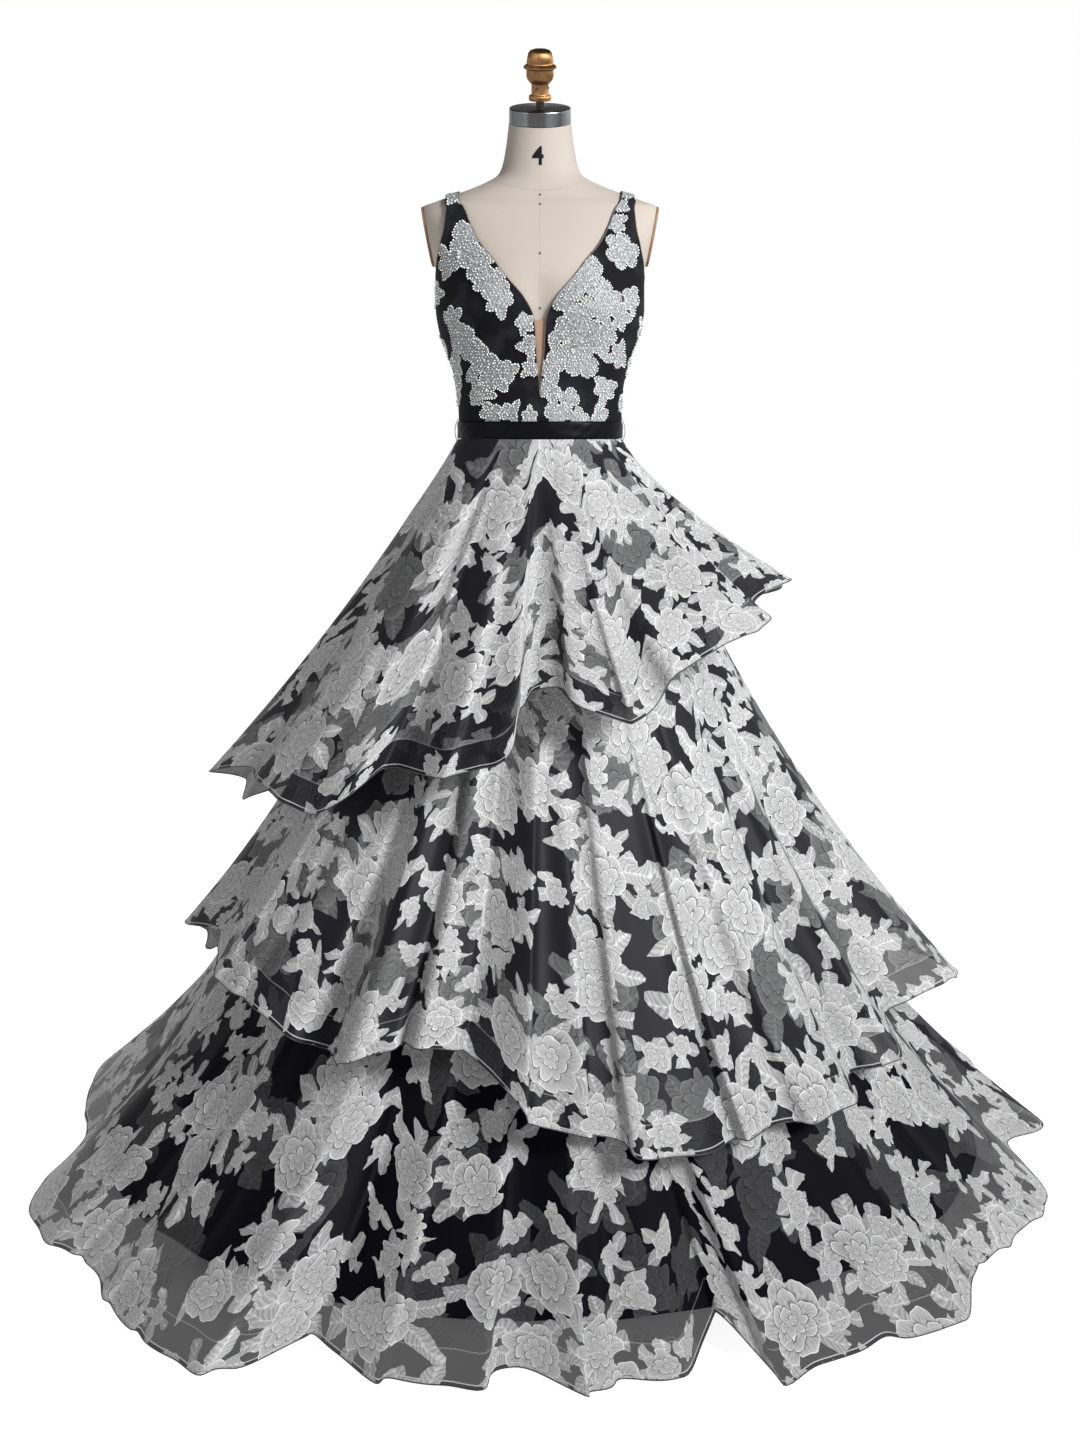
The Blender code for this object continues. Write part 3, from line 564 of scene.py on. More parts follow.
def turned(name: str, profile: Profile, height: float, sides: int) -> bpy.types.Mesh:
    """Spin a profile of (radius, height) pairs round the pole's axis.

    Args:
        name: The mesh's name.
        profile: The profile from the top down.
        height: Height of the profile's zero.
        sides: Steps of the spin.

    Returns:
        The closed mesh.
    """
    mesh = bpy.data.meshes.new(name)
    with editing(mesh) as form:
        points = [form.verts.new((radius, 0.0, height + z)) for radius, z in profile]
        outline = points + [form.edges.new(pair) for pair in zip(points, points[1:])]
        bmesh.ops.spin(
            form, geom=outline, cent=(0, 0, 0), axis=(0, 0, 1), angle=2 * pi, steps=sides, use_merge=True
        )
        bmesh.ops.remove_doubles(form, verts=form.verts, dist=MERGE_FINE)
        bmesh.ops.recalc_face_normals(form, faces=form.faces)
    shade(mesh, 40)
    return mesh


def shade(mesh: bpy.types.Mesh, sharp: float) -> None:
    """Shade a mesh smooth, but sharp at edges that turn by more than an angle in degrees."""
    mesh.shade_smooth()
    mesh.set_sharp_from_angle(angle=radians(sharp))


def add_piece(
    name: str,
    mesh: bpy.types.Mesh,
    finish: "Finish",
    nodes: Sequence[str] = (),
) -> bpy.types.Object:
    """Link a mesh as a finished piece of the object.

    Args:
        name: The piece's name.
        mesh: Its mesh, in place.
        finish: What it is finished in.
        nodes: CAD nodes that it stands for.

    Returns:
        The piece.
    """
    mesh.materials.append(finish.material())
    piece = bpy.data.objects.new(name, mesh)
    bpy.context.scene.collection.objects.link(piece)
    if nodes:
        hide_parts(*nodes)
    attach(piece, ROOT)
    LOG.info("%s: %d faces", name, len(mesh.polygons))
    return piece


@dataclass
class Wire:
    """A node socket whose operators add Math nodes to its material."""

    kit: "NodeKit"
    socket: bpy.types.NodeSocket

    def __add__(self, other: "Wire | float") -> "Wire":
        """Sum."""
        return self.kit.math("ADD", self, other)

    def __radd__(self, other: float) -> "Wire":
        """Sum, with the number first."""
        return self.kit.math("ADD", other, self)

    def __sub__(self, other: "Wire | float") -> "Wire":
        """Difference."""
        return self.kit.math("SUBTRACT", self, other)

    def __rsub__(self, other: float) -> "Wire":
        """Difference, with the number first."""
        return self.kit.math("SUBTRACT", other, self)

    def __mul__(self, other: "Wire | float") -> "Wire":
        """Product."""
        return self.kit.math("MULTIPLY", self, other)

    def __rmul__(self, other: float) -> "Wire":
        """Product, with the number first."""
        return self.kit.math("MULTIPLY", other, self)

    def __truediv__(self, other: "Wire | float") -> "Wire":
        """Quotient."""
        return self.kit.math("DIVIDE", self, other)

    def __gt__(self, other: "Wire | float") -> "Wire":
        """1 where this is greater."""
        return self.kit.math("GREATER_THAN", self, other)

    def __lt__(self, other: "Wire | float") -> "Wire":
        """1 where this is less."""
        return self.kit.math("LESS_THAN", self, other)


class NodeKit:
    """Builds one material's nodes."""

    def __init__(self, name: str) -> None:
        """Start a material with a Principled shader.

        Args:
            name: The material's name.
        """
        self.material = bpy.data.materials.new(name)
        self.material.use_nodes = True
        self.tree = self.material.node_tree
        self.shader = self.tree.nodes["Principled BSDF"]

    def node(self, kind: str, settings: dict[str, Any], sockets: dict[str | int, Any]) -> bpy.types.Node:
        """Add any node.

        Args:
            kind: The node's type.
            settings: Its own settings, set first.
            sockets: Values, colours or wires of its inputs, by name or number.

        Returns:
            The node.
        """
        made = self.tree.nodes.new(kind)
        for key, value in settings.items():
            setattr(made, key, value)
        for key, value in sockets.items():
            self.feed(made.inputs[key], value)
        return made

    def feed(self, socket: bpy.types.NodeSocket, value: Any) -> None:
        """Link a wire to an input, or set its value."""
        if isinstance(value, Wire):
            self.tree.links.new(value.socket, socket)
        elif isinstance(value, tuple) and socket.type == "RGBA" and len(value) == 3:
            socket.default_value = (*value, 1.0)
        else:
            socket.default_value = value

    def wire(self, made: bpy.types.Node, output: str | int = 0) -> Wire:
        """A wire from a node's output."""
        return Wire(self, made.outputs[output])

    def math(self, operation: str, *values: Wire | float) -> Wire:
        """Add a Math node."""
        made = self.node("ShaderNodeMath", {"operation": operation}, dict(enumerate(values)))
        return self.wire(made)

    def vector(self, operation: str, *values: Any, output: str | int = 0) -> Wire:
        """Add a Vector Math node."""
        made = self.node("ShaderNodeVectorMath", {"operation": operation}, dict(enumerate(values)))
        return self.wire(made, output)

    def join(self, x: Wire | float, y: Wire | float, z: Wire | float = 0.0) -> Wire:
        """A vector of three parts."""
        return self.wire(self.node("ShaderNodeCombineXYZ", {}, {0: x, 1: y, 2: z}))

    def mix(self, share: Wire | float, low: Any, high: Any) -> Wire:
        """Mix two colours."""
        made = self.node("ShaderNodeMix", {"data_type": "RGBA"}, {0: share, 6: low, 7: high})
        return self.wire(made, 2)

    def step(self, low: float, high: float, value: Wire) -> Wire:
        """Ease from 0 at low to 1 at high."""
        sockets = {0: value, 1: low, 2: high, 3: 0.0, 4: 1.0}
        return self.wire(self.node("ShaderNodeMapRange", {"interpolation_type": "SMOOTHSTEP"}, sockets))

    def split(self, vector: Wire) -> tuple[Wire, Wire, Wire]:
        """The three parts of a vector or colour."""
        made = self.node("ShaderNodeSeparateXYZ", {}, {0: vector})
        return self.wire(made, 0), self.wire(made, 1), self.wire(made, 2)

    def place(self) -> Wire:
        """The point's place on the object."""
        return self.wire(self.node("ShaderNodeTexCoord", {}, {}), "Object")

    def neck_place(self) -> Wire:
        """The point's place, measured from the middle of the tilted neck's top."""
        top, tilt = (0.0, 0.0, BODY.neck_top), (radians(BODY.tilt), 0.0, 0.0)
        sockets = {"Vector": self.place(), "Location": top, "Rotation": tilt}
        return self.wire(self.node("ShaderNodeMapping", {"vector_type": "TEXTURE"}, sockets))

    def cut(self) -> Wire:
        """The point's place on the flat cloth."""
        return self.wire(self.node("ShaderNodeUVMap", {"uv_map": "cut"}, {}))

    def attribute(self, name: str) -> Wire:
        """A named value of the mesh."""
        return self.wire(self.node("ShaderNodeAttribute", {"attribute_name": name}, {}), "Fac")

    def noise(self, at: Wire, scale: float, detail: float = 2.0, output: str = "Fac") -> Wire:
        """Soft noise."""
        made = self.node("ShaderNodeTexNoise", {}, {"Vector": at, "Scale": scale, "Detail": detail})
        return self.wire(made, output)

    def bump(self, height: Wire, depth: float, strength: float = 1.0) -> None:
        """Raise the surface by a height."""
        made = self.node("ShaderNodeBump", {}, {"Height": height, "Distance": depth, "Strength": strength})
        self.feed(self.shader.inputs["Normal"], self.wire(made))

    def set(self, **values: Any) -> None:
        """Set or link the shader's inputs, named with underscores for spaces."""
        for key, value in values.items():
            self.feed(self.shader.inputs[key.replace("_", " ")], value)


@dataclass(frozen=True)
class Finish:
    """A finish whose colour and roughness vary softly and whose surface has a fine grain."""

    name: str
    color: Color
    roughness: float
    metallic: float = 0.0
    mottle: float = 0.12
    patch: float = 14.0
    grain: float = 900.0
    depth: float = 0.0002
    coat: float = 0.0
    gloss: float = 0.5

    def material(self) -> bpy.types.Material:
        """The finish's material, made once."""
        found = bpy.data.materials.get(self.name)
        if found:
            return found
        kit = NodeKit(self.name)
        kit.set(Metallic=self.metallic, Coat_Weight=self.coat, Specular_IOR_Level=self.gloss)
        self.dress(kit)
        return kit.material

    def shades(self) -> tuple[Color, Color]:
        """The finish's darker and lighter colour."""
        low, high = (tuple(part * (1 + sign * self.mottle) for part in self.color) for sign in (-1, 1))
        return low, high

    def dress(self, kit: NodeKit) -> None:
        """Add the soft patches and the grain.

        Args:
            kit: The material's nodes.
        """
        at = kit.place()
        cloud = kit.noise(at, self.patch, 3.0)
        roughness = self.roughness * 0.8 + cloud * 0.4 * self.roughness
        kit.set(Base_Color=kit.mix(cloud, *self.shades()), Roughness=roughness)
        kit.bump(kit.noise(at, self.grain, 1.0), self.depth)


@dataclass(frozen=True)
class Woven(Finish):
    """Plain woven cloth with crossing threads."""

    threads: float = 6200.0

    def dress(self, kit: NodeKit) -> None:
        """Add crossing threads, slubs and soft soiling.

        Args:
            kit: The material's nodes.
        """
        at = kit.place()
        x, y, z = kit.split(at)
        turn = kit.math("ARCTAN2", x, y)
        warp = kit.math("SINE", turn * round(0.1 * self.threads))
        weft = kit.math("SINE", z * self.threads)
        cloud = kit.noise(at, self.patch, 3.0)
        slub = kit.noise(at, 320.0, 2.0)
        share = cloud * 0.7 + slub * 0.3 + (warp + weft) * 0.03
        kit.set(Base_Color=kit.mix(share, *self.shades()), Roughness=self.roughness)
        kit.bump(warp * 0.5 + weft * 0.5 + slub, self.depth)


@dataclass(frozen=True)
class Brushed(Finish):
    """Turned metal with fine rings round its axis, and smears that may run along it; smears stretched along
    the axis are light and dark streaks, partly painted reflection bands.

    The axis is the tilted neck's where the piece stands on the neck, and otherwise the pole's.
    """

    smear_and_reflection_rise: float = 1.0
    ring_spread: float = 4.0
    on_neck: bool = True

    def dress(self, kit: NodeKit) -> None:
        """Add fine turned rings and smears; smears stretched along the axis are partly painted reflection
        bands.

        Args:
            kit: The material's nodes.
        """
        x, y, z = kit.split(kit.neck_place() if self.on_neck else kit.place())
        rings = kit.noise(kit.join(x * self.ring_spread, y * self.ring_spread, z * self.grain), 1.0)
        # Smears stretched along the axis, as on the steel cap, are partly the metal's own smears and partly
        # painted reflection bands.
        smear_and_reflection = kit.step(0.38, 0.64, kit.noise(kit.join(x, y, z * self.smear_and_reflection_rise), self.patch, 2.0))
        kit.set(
            Base_Color=kit.mix(rings * 0.35 + smear_and_reflection * 0.65, *self.shades()),
            Roughness=self.roughness + rings * 0.10 + smear_and_reflection * 0.08,
            Anisotropic=0.8,
        )
        kit.bump(rings, self.depth)


@dataclass(frozen=True)
class Bloom:
    """One layer of a flower print: blossoms of ringed petals, with pointed leaves behind them."""

    cells: float
    reach: float
    rings: float
    petals: float
    leaves: float
    leaf_length: float
    bouquets: float
    bare: float
    offset: tuple[float, float, float]

    def draw(self, kit: NodeKit, cloth: Wire) -> tuple[Wire, Wire]:
        """Draw the layer.

        Args:
            kit: The material's nodes.
            cloth: Place on the flat cloth, in metres.

        Returns:
            Where the layer's flowers are, and their tone from 0 to 1.
        """
        at = kit.vector("ADD", cloth, self.offset)
        cell = kit.node(
            "ShaderNodeTexVoronoi",
            {"voronoi_dimensions": "2D", "feature": "F1"},
            {"Vector": at, "Scale": self.cells, "Randomness": 0.9},
        )
        size, start, pick = kit.split(kit.wire(cell, "Color"))
        middle = kit.wire(cell, "Position")
        away = kit.vector("SUBTRACT", at, middle)
        x, y, _ = kit.split(away)
        reach = self.reach * 0.75 + size * (self.reach * 0.5)
        far = kit.vector("LENGTH", away, output="Value") / reach
        turn = kit.math("ARCTAN2", y, x) * (1 / (2 * pi)) + start * 7.0
        petals = kit.math("ROUND", self.petals + pick * 3.0)
        out = kit.math("POWER", far, 0.74) * self.rings
        ring = kit.math("FLOOR", out)
        part = out - ring
        side = kit.math("PINGPONG", turn * petals + ring * 0.38, 0.5) * 2.0
        lobe = kit.math("POWER", 1.0 - side * side * 0.92, 0.40 + start * 0.5) * 0.92
        past = part > lobe
        flower = (ring + past) < (self.rings - 0.5)
        edge = lobe - part
        rim = kit.step(0.13, 0.03, edge) * (1.0 - past)
        shade = kit.step(-0.34, 0.0, edge) * past
        rise = part / lobe * (1.0 - past) + past * (part - lobe)
        vein = kit.math("SINE", turn * petals * (2 * pi * 6.0)) * (1.0 - rise)
        petal = 0.69 + rise * 0.16 + rim * 0.24 - shade * 0.34 + vein * 0.10
        leaf_turn = turn * self.leaves + pick * 5.0
        leaf_side = kit.math("PINGPONG", leaf_turn, 0.5) * 2.0
        leaf_seed = kit.node(
            "ShaderNodeTexWhiteNoise",
            {"noise_dimensions": "2D"},
            {"Vector": kit.join(kit.math("ROUND", leaf_turn), pick)},
        )
        seed = kit.wire(leaf_seed, "Value")
        blade = kit.math("SQRT", kit.math("MAXIMUM", 1.0 - leaf_side * 1.45, 0.0))
        leaf = (far < (0.80 + blade * (0.45 + seed * self.leaf_length))) * (seed > 0.30)
        rib = kit.step(0.10, 0.03, leaf_side)
        veins = kit.math("SINE", far * 34.0 - leaf_side * 16.0)
        green = 0.54 + veins * 0.10 + rib * 0.18 + seed * 0.24
        here = kit.noise(middle, self.bouquets, 0.0) > self.bare
        shown = kit.math("MAXIMUM", flower, leaf) * here
        return shown, green + (petal - green) * flower


@dataclass(frozen=True)
class PrintedOrganza(Finish):
    """Sheer black cloth, printed with pale flowers, with a second printed layer just behind it."""

    ground: float = 0.008
    ground_alpha: float = 0.90
    ghost: float = 0.11
    bare: float = 0.455
    facing: float = 0.045
    hem_band: float = 0.0052
    bend: float = 0.030
    bend_patch: float = 26.0

    def dress(self, kit: NodeKit) -> None:
        """Print the cloth and set how much it lets through.

        Args:
            kit: The material's nodes.
        """
        flat = kit.cut()
        bend = kit.vector("SUBTRACT", kit.noise(flat, self.bend_patch, 2.0, "Color"), (0.5, 0.5, 0.5))
        cloth = kit.vector("ADD", flat, kit.vector("MULTIPLY", bend, (self.bend,) * 3))
        peony = Bloom(9.8, 0.0445, 4.0, 5.0, 8.0, 1.3, 9.0, self.bare, (3.1, 1.7, 0.0))
        sprig = Bloom(18.5, 0.0200, 3.0, 5.0, 5.0, 1.6, 11.0, self.bare + 0.01, (7.3, 4.2, 0.0))
        shadow = Bloom(9.0, 0.050, 4.0, 5.0, 6.0, 0.8, 8.0, self.bare - 0.015, (1.2, 8.8, 0.0))
        big, big_tone = peony.draw(kit, cloth)
        small, small_tone = sprig.draw(kit, cloth)
        back, back_tone = shadow.draw(kit, cloth)
        front = kit.math("MAXIMUM", big, small)
        tone = small_tone + (big_tone - small_tone) * big
        hem = kit.attribute("hem")
        behind = back * (hem > self.facing) * (1.0 - front)
        wash = kit.noise(flat, 9.0, 1.0)
        light = (tone * tone * 0.42 + wash * 0.10) * front
        ghost = (back_tone * back_tone * self.ghost + wash * 0.02) * behind
        ground = self.ground_alpha + kit.step(0.05, 0.17, hem) * 0.06 + (hem < self.hem_band) * 0.04
        line = kit.step(0.0011, 0.0004, kit.math("ABSOLUTE", hem - self.hem_band))
        under_line = kit.step(0.0012, 0.0005, kit.math("ABSOLUTE", hem - self.facing)) * 0.10
        value = kit.math("MAXIMUM", light + ghost + self.ground, line * 0.34) + under_line
        kit.set(
            Base_Color=kit.mix(value, (0.0, 0.0, 0.002), (0.93, 0.935, 0.93)),
            Alpha=kit.math("MAXIMUM", front * 0.96, behind * 0.94 + (1.0 - behind) * ground),
            Roughness=0.62 - wash * 0.12,
        )
        kit.bump(wash, 0.0008, 0.5)


@dataclass(frozen=True)
class LacedVelvet(Finish):
    """Black velvet that turns to grey-white lace where the mesh says so."""

    def dress(self, kit: NodeKit) -> None:
        """Add the nap, the lace and its stitched lines.

        Args:
            kit: The material's nodes.
        """
        at = kit.place()
        lace, tone = kit.attribute("lace"), kit.attribute("tone")
        edge = kit.step(0.35, 0.60, lace)
        nap = kit.noise(at, 24.0, 3.0)
        swirl = kit.noise(at, 55.0, 2.0)
        cord = kit.math("SINE", swirl * 95.0 + tone * 9.0) * 0.5 + 0.5
        fray = kit.noise(at, 420.0, 2.0)
        shade = tone * 0.50 + cord * 0.38 + fray * 0.30 - 0.12
        lacework = kit.mix(shade, (0.020, 0.023, 0.026), (0.37, 0.385, 0.39))
        velvet = kit.mix(kit.step(0.45, 0.75, nap), (0.002, 0.002, 0.003), (0.010, 0.0105, 0.014))
        kit.set(Base_Color=kit.mix(edge, velvet, lacework), Roughness=0.85 - edge * 0.25)
        kit.bump((cord * 0.7 + fray * 0.5) * edge, 0.0007, 0.7)


@dataclass(frozen=True)
class Satin(Finish):
    """Smooth satin with faint slubs that run round the waist."""

    slub_rise: float = 14.0

    def dress(self, kit: NodeKit) -> None:
        """Add the slubs.

        Args:
            kit: The material's nodes.
        """
        x, y, z = kit.split(kit.place())
        slub = kit.noise(kit.join(x, y, z * self.slub_rise), self.patch, 3.0)
        kit.set(Base_Color=kit.mix(slub, *self.shades()), Roughness=self.roughness * 0.7 + slub * 0.2)
        kit.bump(slub, self.depth)


LINEN = Woven("linen_cover", (0.278, 0.248, 0.219), 0.85, mottle=0.05, depth=0.00008, gloss=0.2)
LINEN_SEAM = Woven("linen_seam", (0.235, 0.205, 0.175), 0.85, mottle=0.08, depth=0.00005, gloss=0.2)
# The steel's strong mottle, stretched along the neck's axis, paints light and dark streaks that are partly
# painted reflection bands.
STEEL = Brushed(
    "steel_cap",
    (0.16, 0.163, 0.168),
    0.19,
    1.0,
    mottle=0.78,
    patch=28.0,
    grain=2600.0,
    depth=0.00003,
    smear_and_reflection_rise=0.05,
)
BRASS = Brushed("brass_old", (0.21, 0.113, 0.047), 0.40, 1.0, mottle=0.28, patch=70.0, depth=0.00006)
IRON = Brushed("iron_dark", (0.05, 0.045, 0.04), 0.40, 0.8, mottle=0.3, patch=60.0, depth=0.00005)
PIN_IRON = replace(IRON, name="pin_iron", on_neck=False)
BOARD = Finish("arm_board_cover", (0.17, 0.095, 0.05), 0.62, mottle=0.22, patch=40.0, depth=0.0003, gloss=0.3)
PAINT = Finish(
    "stand_black", (0.028, 0.028, 0.030), 0.38, mottle=0.25, patch=20.0, grain=500.0, depth=0.0001, coat=0.3
)
INK = Finish("number_ink", (0.004, 0.004, 0.005), 0.7, mottle=0.3, patch=200.0, gloss=0.1)
VELVET = LacedVelvet("velvet_and_lace", (0.01, 0.01, 0.012), 0.85, gloss=0.12)
NUDE = Woven("nude_net", (0.25, 0.165, 0.11), 0.75, mottle=0.10, depth=0.0002, gloss=0.2)
BINDING = Finish("neck_binding", (0.075, 0.052, 0.042), 0.7, mottle=0.25, patch=120.0, depth=0.0001)
BELT_SATIN = Satin(
    "belt_black_satin", (0.0020, 0.0020, 0.0028), 0.42, mottle=0.3, patch=60.0, depth=0.0001, gloss=0.05
)
THREAD = Finish("red_thread", (0.30, 0.10, 0.07), 0.6, mottle=0.2, patch=300.0)
LINING = Satin("lining_black", (0.003, 0.003, 0.004), 0.50, mottle=0.3, patch=8.0, depth=0.0006, gloss=0.08)
ORGANZA = PrintedOrganza("printed_organza_cloth", (0.4, 0.4, 0.4), 0.6, gloss=0.12)
# A darker copy of the organza for the lowest tier, which paints its shade: a dimmer back print, a blacker
# ground, fewer flowers and less gloss.
ORGANZA_SHADED_LOW = replace(ORGANZA, name="printed_organza_low", gloss=0.05, ground=0.002, ghost=0.035, bare=0.480)
HEM_DARK = Finish("hem_roll", (0.020, 0.020, 0.022), 0.50, mottle=0.4, patch=60.0, depth=0.0001)
PEARL = Finish("pearl_white", (0.56, 0.557, 0.54), 0.22, mottle=0.05, patch=300.0, depth=0.00001, coat=0.6)
PAPER = Finish("floor_paper", (0.55, 0.55, 0.55), 0.9, mottle=0.01, patch=2.0, gloss=0.1)
CRYSTAL = Finish("crystal_grey", (0.62, 0.70, 0.74), 0.08, 0.85, mottle=0.3, patch=400.0, depth=0.00001)


@dataclass(frozen=True)
class Tier:
    """One sheer tier of the skirt."""

    name: str
    hem: Sequence[HemRow]
    flutes: Sequence[Crease]
    top: float
    slant: float
    flare_power: float
    fold_power: float
    lift: float
    cloth: PrintedOrganza
    columns: int = 960
    rows: int = 60
    row_crowding: float = 0.85
    narrow: float = 0.90
    tall: float = 1.95
    swell: float = 0.45
    side_calm: float = 0.92
    fall: float = 0.95
    roll: float = 0.0008

    def creases(self) -> list[Crease]:
        """The flutes right round: the front's, and the back's as the same ones turned and resized."""
        turned_back = []
        for i, flute in enumerate(self.flutes):
            grown = 0.85 + 0.1 * (i * 7 % 4)
            azimuth = 180 - flute.azimuth * 0.98
            width, height = flute.width * grown, flute.height * grown
            turned_back.append(Crease(azimuth, width, height, flute.start, -flute.lean))
        return [*self.flutes, *turned_back]

    def surface(self) -> Array:
        """Points of the tier, from the hem up to its top seam.

        Returns:
            An array of rows by columns by x, y, z.
        """
        azimuth = np.linspace(-180, 180, self.columns + 1)[None, :]
        share = np.linspace(1, 0, self.rows + 1)[:, None]
        hem_z = SKIRT.around(self.hem, "z", azimuth)
        hem_radius = SKIRT.around(self.hem, "radius", azimuth)
        mean = SKIRT.mean_hem(self.hem, azimuth)
        top_z = self.top + self.slant * np.sin(np.radians(azimuth))
        base = self.lift + SKIRT.wall
        flare = mean - SKIRT.cone(hem_z, azimuth) - base
        down = share**self.row_crowding
        z = top_z + (hem_z - top_z) * down
        turn = np.broadcast_to(azimuth, z.shape)
        seat = SKIRT.cone(z, turn) + base
        wave = flare * down**self.flare_power + (hem_radius - mean) * down**self.fold_power
        radius = seat + np.maximum(wave, 0.0)
        raised, fallen = np.zeros(z.shape), np.zeros(z.shape)
        for crease in self.creases():
            middle = crease.azimuth + crease.lean * (1 - down)
            apart = np.radians((azimuth - middle + 180) % 360 - 180) * radius
            width = crease.width * self.narrow * (0.45 + 0.55 * down)
            slow = smooth_step(crease.start, 1.1, down)
            quick = smooth_step(crease.start, crease.start + 0.2, down)
            calm = 1 - self.side_calm * np.sin(radians(crease.azimuth)) ** 2
            grown = (0.55 * slow + 0.45 * quick) * (1 - self.swell * (1 - down**2)) * calm
            ridge = crease.height * self.tall * grown * np.exp(-((apart / width) ** 2))
            raised += ridge
            fallen += np.sign(crease.lean + 0.1) * self.fall * ridge
        raised = np.maximum(raised, seat - radius)
        return place(radius + raised, turn + np.degrees(fallen / radius), z)

    def cut_map(self, points: Array) -> tuple[Array, Array, float, tuple[float, float]]:
        """Flatten the tier into the ring that it is cut from.

        Args:
            points: The tier's points.

        Returns:
            Flat coordinates, distances from the hem, the flat area, and the cut's width and length.
        """
        steps = np.linalg.norm(np.diff(points, axis=1), axis=-1)
        along = np.concatenate([np.zeros((len(points), 1)), np.cumsum(steps, axis=1)], axis=1)
        rises = np.linalg.norm(np.diff(points, axis=0), axis=-1)
        from_hem = np.concatenate([np.zeros((1, points.shape[1])), np.cumsum(rises, axis=0)])
        length = float(from_hem[-1].mean())
        round_hem, round_top = float(along[0, -1]), float(along[-1, -1])
        angle = (round_hem - round_top) / length
        rise = from_hem.mean(axis=1, keepdims=True)
        far = round_hem / angle - rise - 0.5 * (from_hem - rise)
        turn = (along - along[:, [points.shape[1] // 2]]) / along[:, -1:] * angle
        cut = np.stack([far * np.sin(turn), far * np.cos(turn)], axis=-1)
        area = length * (round_hem + round_top) / 2
        return cut, from_hem, area, (round_hem, length)

    def build(self) -> None:
        """Build the cloth and its rolled hem."""
        points = self.surface()
        cut, from_hem, area, flat = self.cut_map(points)
        mesh = lay_grid(self.name + "_cloth", points, cut, {"hem": from_hem}, merge=True)
        cloth = add_piece(self.name + "_cloth", mesh, self.cloth, [self.name])
        roll = tube(self.name + "_hem", points[0, :-1], self.roll, closed=True)
        rolled = add_piece(self.name + "_hem", roll, HEM_DARK)
        LOG.info("%s is cut %.2f by %.2f m, %.2f square metres", self.name, *flat, area)


@dataclass(frozen=True)
class Lining:
    """The plain black lining under the tiers."""

    hem: float = 0.015
    columns: int = 256
    rows: int = 70
    roll: float = 0.0012
    ripple: float = 0.004

    def build(self) -> None:
        """Build the cone and its hem."""
        azimuth = np.linspace(-180, 180, self.columns + 1)[None, :]
        z = np.linspace(self.hem, SKIRT.top, self.rows + 1)[:, None] + 0 * azimuth
        turn = np.broadcast_to(azimuth, z.shape)
        down = (SKIRT.top - z) / (SKIRT.top - self.hem)
        wave = np.sin(np.radians(turn) * 23 + 1.3) + 0.6 * np.sin(np.radians(turn) * 37)
        radius = SKIRT.cone(z, turn) - self.ripple * down * (1 + 0.5 * wave)
        points = place(radius, turn, z)
        mesh = lay_grid("skirt_lining_cloth", points, merge=True)
        cloth = add_piece("skirt_lining_cloth", mesh, LINING, ["skirt_lining"])
        roll = tube("lining_hem", points[0, :-1], self.roll, closed=True)
        rolled = add_piece("skirt_lining_hem", roll, LINING)
        rounds = 2 * pi * radius.mean(axis=1)
        length = float(np.linalg.norm(np.diff(points[:, 0], axis=0), axis=-1).sum())
        length * float(rounds[0] + rounds[-1]) / 2


class Side(Enum):
    """The wearer's sides, with the sign of x."""

    LEFT = 1
    RIGHT = -1


class Face(Enum):
    """The two faces of the bodice."""

    FRONT = "front"
    BACK = "back"


@dataclass(frozen=True)
class Petals:
    """A lace flower's outline and shading, in distances along the cloth."""

    motif: Motif
    index: int

    def polar(self, s: Array, z: Array) -> tuple[Array, Array]:
        """Distance and turn of points from the flower's middle."""
        ds, dz = s - self.motif.s, z - self.motif.z
        return np.hypot(ds, dz), np.arctan2(dz, ds) + self.index * 1.7

    def outline(self, turn: Array) -> Array:
        """The flower's edge at each turn: round or pointed petals, with a few pointed leaves."""
        petal = np.abs(np.sin(turn * self.motif.petals / 2))
        if self.index % 2:
            petal = np.arcsin(petal) * 2 / pi
        edge = self.motif.reach * (0.68 + 0.50 * petal**0.75)
        leaf = (turn * 3 / (2 * pi) + 0.5 * self.index) % 1.0
        point = np.maximum(1 - np.abs(leaf - 0.5) * 5.5, 0.0)
        return edge + self.motif.reach * (0.45 + 0.25 * np.sin(self.index * 2.4)) * point**0.7

    def inside(self, s: Array, z: Array) -> Array:
        """How far points lie inside the outline; negative outside."""
        far, turn = self.polar(s, z)
        return self.outline(turn) - far

    def tone(self, s: Array, z: Array) -> Array:
        """Petal shading from dark at each petal's root to light at its edge."""
        far, turn = self.polar(s, z)
        out = far / self.motif.reach * 3.0
        ring = np.floor(out)
        lobe = 0.4 + 0.6 * np.abs(np.sin(turn * self.motif.petals / 2 + ring * 1.1))
        part = (out - ring) / lobe
        return np.clip(0.25 + 0.6 * np.where(part < 1, part, part - 1), 0.0, 1.0)


